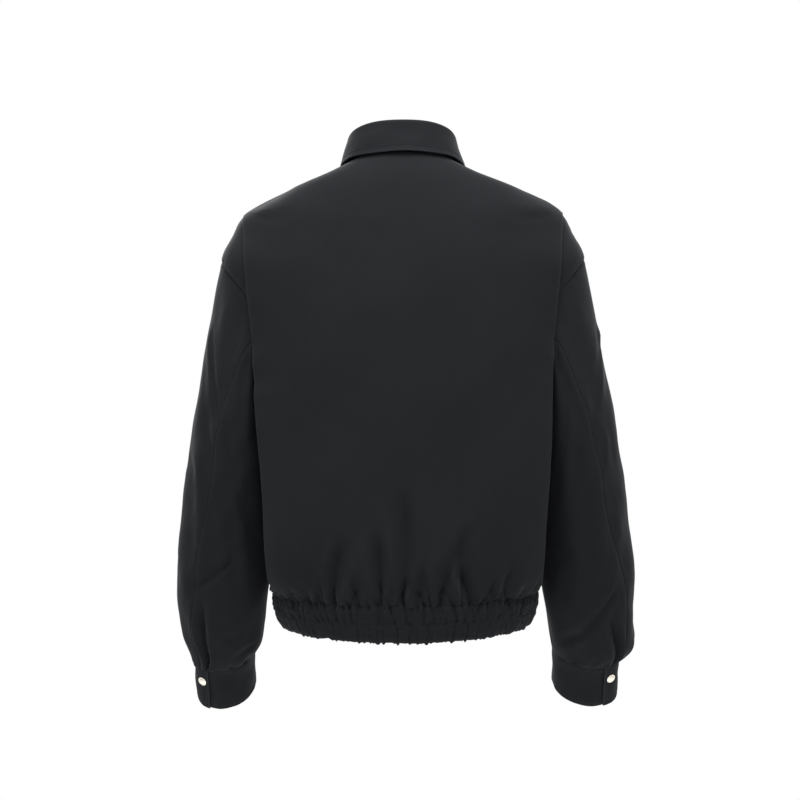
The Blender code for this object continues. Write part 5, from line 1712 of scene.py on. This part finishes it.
def make_stage(scene):
    """A white floor, white surroundings, six large soft lights and the camera behind the jacket."""
    stage = scene.jacket_stage
    sides = 96
    cosine, sine = circle(sides)
    top = np.stack([FLOOR_RADIUS * cosine, FLOOR_RADIUS * sine, 0 * sine], axis=1)
    points = np.concatenate([top, top - (0, 0, FLOOR_THICKNESS)]) - (0, 0, stage.floor_drop)
    walls, ends = tube(np.arange(2 * sides).reshape(2, sides))
    floor = mesh_object("studio_floor", points, [ends, walls], stuff_for(scene, "studio_white"))
    floor.data.set_sharp_from_angle(angle=math.radians(30))
    world = bpy.data.worlds.new("studio")
    world.use_nodes = True
    world.node_tree.nodes["Background"].inputs["Color"].default_value = (1, 1, 1, 1)
    world.node_tree.nodes["Background"].inputs["Strength"].default_value = stage.surround
    scene.world = world
    for name, place, size, share in LIGHTS:
        lamp = bpy.data.lights.new(name, "AREA")
        lamp.energy = stage.key * share
        lamp.size = size
        thing = bpy.data.objects.new(name, lamp)
        aim = AIM - place
        thing.location = place
        thing.rotation_euler = (
            math.atan2(math.hypot(aim[0], aim[1]), -aim[2]), 0, math.atan2(aim[1], aim[0]) - math.pi / 2,
        )
        bpy.context.collection.objects.link(thing)
    camera = bpy.data.cameras.new("camera")
    camera.lens = CAMERA_LENS
    camera.sensor_width = CAMERA_SENSOR
    camera.shift_x = CAMERA_SHIFT
    view = bpy.data.objects.new("camera", camera)
    view.location = CAMERA_PLACE
    view.rotation_euler = CAMERA_TURN
    bpy.context.collection.objects.link(view)
    scene.camera = view
    scene.view_settings.view_transform = "Standard"


# ---- Operators and panel ----
class JacketOperator:
    """What the jacket's operators share."""

    bl_options = {"REGISTER", "UNDO"}


class JACKET_OT_back(JacketOperator, bpy.types.Operator):
    """Makes the centre back with its two pleats"""

    bl_idname = "jacket.back"
    bl_label = "Back"

    def execute(self, context):
        make_back(context.scene)
        return {"FINISHED"}


class JACKET_OT_side_backs(JacketOperator, bpy.types.Operator):
    """Makes the cloth under each pleat, out to the armhole and the side seam"""

    bl_idname = "jacket.side_backs"
    bl_label = "Side backs"

    def execute(self, context):
        for side in SIDES:
            make_side(context.scene, side, back=True)
        return {"FINISHED"}


class JACKET_OT_fronts(JacketOperator, bpy.types.Operator):
    """Makes the two fronts and their stitching beside the zip"""

    bl_idname = "jacket.fronts"
    bl_label = "Fronts"

    def execute(self, context):
        make_fronts(context.scene)
        return {"FINISHED"}


class JACKET_OT_sleeves(JacketOperator, bpy.types.Operator):
    """Makes both halves of both sleeves"""

    bl_idname = "jacket.sleeves"
    bl_label = "Sleeves"

    def execute(self, context):
        for side in SIDES:
            make_sleeve(context.scene, side)
        return {"FINISHED"}


class JACKET_OT_cuffs(JacketOperator, bpy.types.Operator):
    """Makes the cuffs, their stitching and their snaps"""

    bl_idname = "jacket.cuffs"
    bl_label = "Cuffs and snaps"

    def execute(self, context):
        for side in SIDES:
            make_cuff(context.scene, side)
        return {"FINISHED"}


class JACKET_OT_waistband(JacketOperator, bpy.types.Operator):
    """Makes the gathered elastic waistband"""

    bl_idname = "jacket.waistband"
    bl_label = "Waistband"

    def execute(self, context):
        make_waistband(context.scene)
        return {"FINISHED"}


class JACKET_OT_collar(JacketOperator, bpy.types.Operator):
    """Makes the turned-down collar"""

    bl_idname = "jacket.collar"
    bl_label = "Collar"

    def execute(self, context):
        make_collar(context.scene)
        return {"FINISHED"}


class JACKET_OT_zip(JacketOperator, bpy.types.Operator):
    """Makes the zip's tapes and teeth, and finishes its slider and pull"""

    bl_idname = "jacket.zip"
    bl_label = "Zip"

    def execute(self, context):
        make_tapes(context.scene)
        make_teeth(context.scene)
        finish_slider(context.scene)
        return {"FINISHED"}


class JACKET_OT_stage(JacketOperator, bpy.types.Operator):
    """Makes the floor, the surroundings, the lights and the camera"""

    bl_idname = "jacket.stage"
    bl_label = "Stage"

    def execute(self, context):
        make_stage(context.scene)
        return {"FINISHED"}


OPERATORS = (
    JACKET_OT_back, JACKET_OT_side_backs, JACKET_OT_fronts, JACKET_OT_sleeves, JACKET_OT_cuffs,
    JACKET_OT_waistband, JACKET_OT_collar, JACKET_OT_zip, JACKET_OT_stage,
)


class JACKET_PT_panel(bpy.types.Panel):
    """Lists the jacket's settings and the operators that make it"""

    bl_label = "Bomber jacket"
    bl_idname = "JACKET_PT_panel"
    bl_space_type = "VIEW_3D"
    bl_region_type = "UI"
    bl_category = "Jacket"

    def draw(self, context):
        for group in GROUPS:
            settings = getattr(context.scene, GROUPS[group])
            box = self.layout.box()
            for name in group.__annotations__:
                box.prop(settings, name)
        for operator in OPERATORS:
            self.layout.operator(operator.bl_idname)


GROUPS = {
    JacketCloth: "jacket_cloth", JacketSewing: "jacket_sewing", JacketMetal: "jacket_metal",
    JacketStage: "jacket_stage",
}


def register():
    """Registers the classes, and gives each scene the jacket's settings."""
    for kind in (*GROUPS, *OPERATORS, JACKET_PT_panel):
        bpy.utils.register_class(kind)
    for group, name in GROUPS.items():
        setattr(bpy.types.Scene, name, PointerProperty(type=group))


def unregister():
    """Undoes what register does."""
    for name in GROUPS.values():
        delattr(bpy.types.Scene, name)
    for kind in (JACKET_PT_panel, *reversed(OPERATORS), *GROUPS):
        bpy.utils.unregister_class(kind)


def main():
    """Makes the jacket and its stage."""
    register()
    bpy.ops.jacket.back()
    bpy.ops.jacket.side_backs()
    bpy.ops.jacket.fronts()
    bpy.ops.jacket.sleeves()
    bpy.ops.jacket.cuffs()
    bpy.ops.jacket.waistband()
    bpy.ops.jacket.collar()
    bpy.ops.jacket.zip()
    bpy.ops.jacket.stage()


if __name__ == "__main__":
    main()
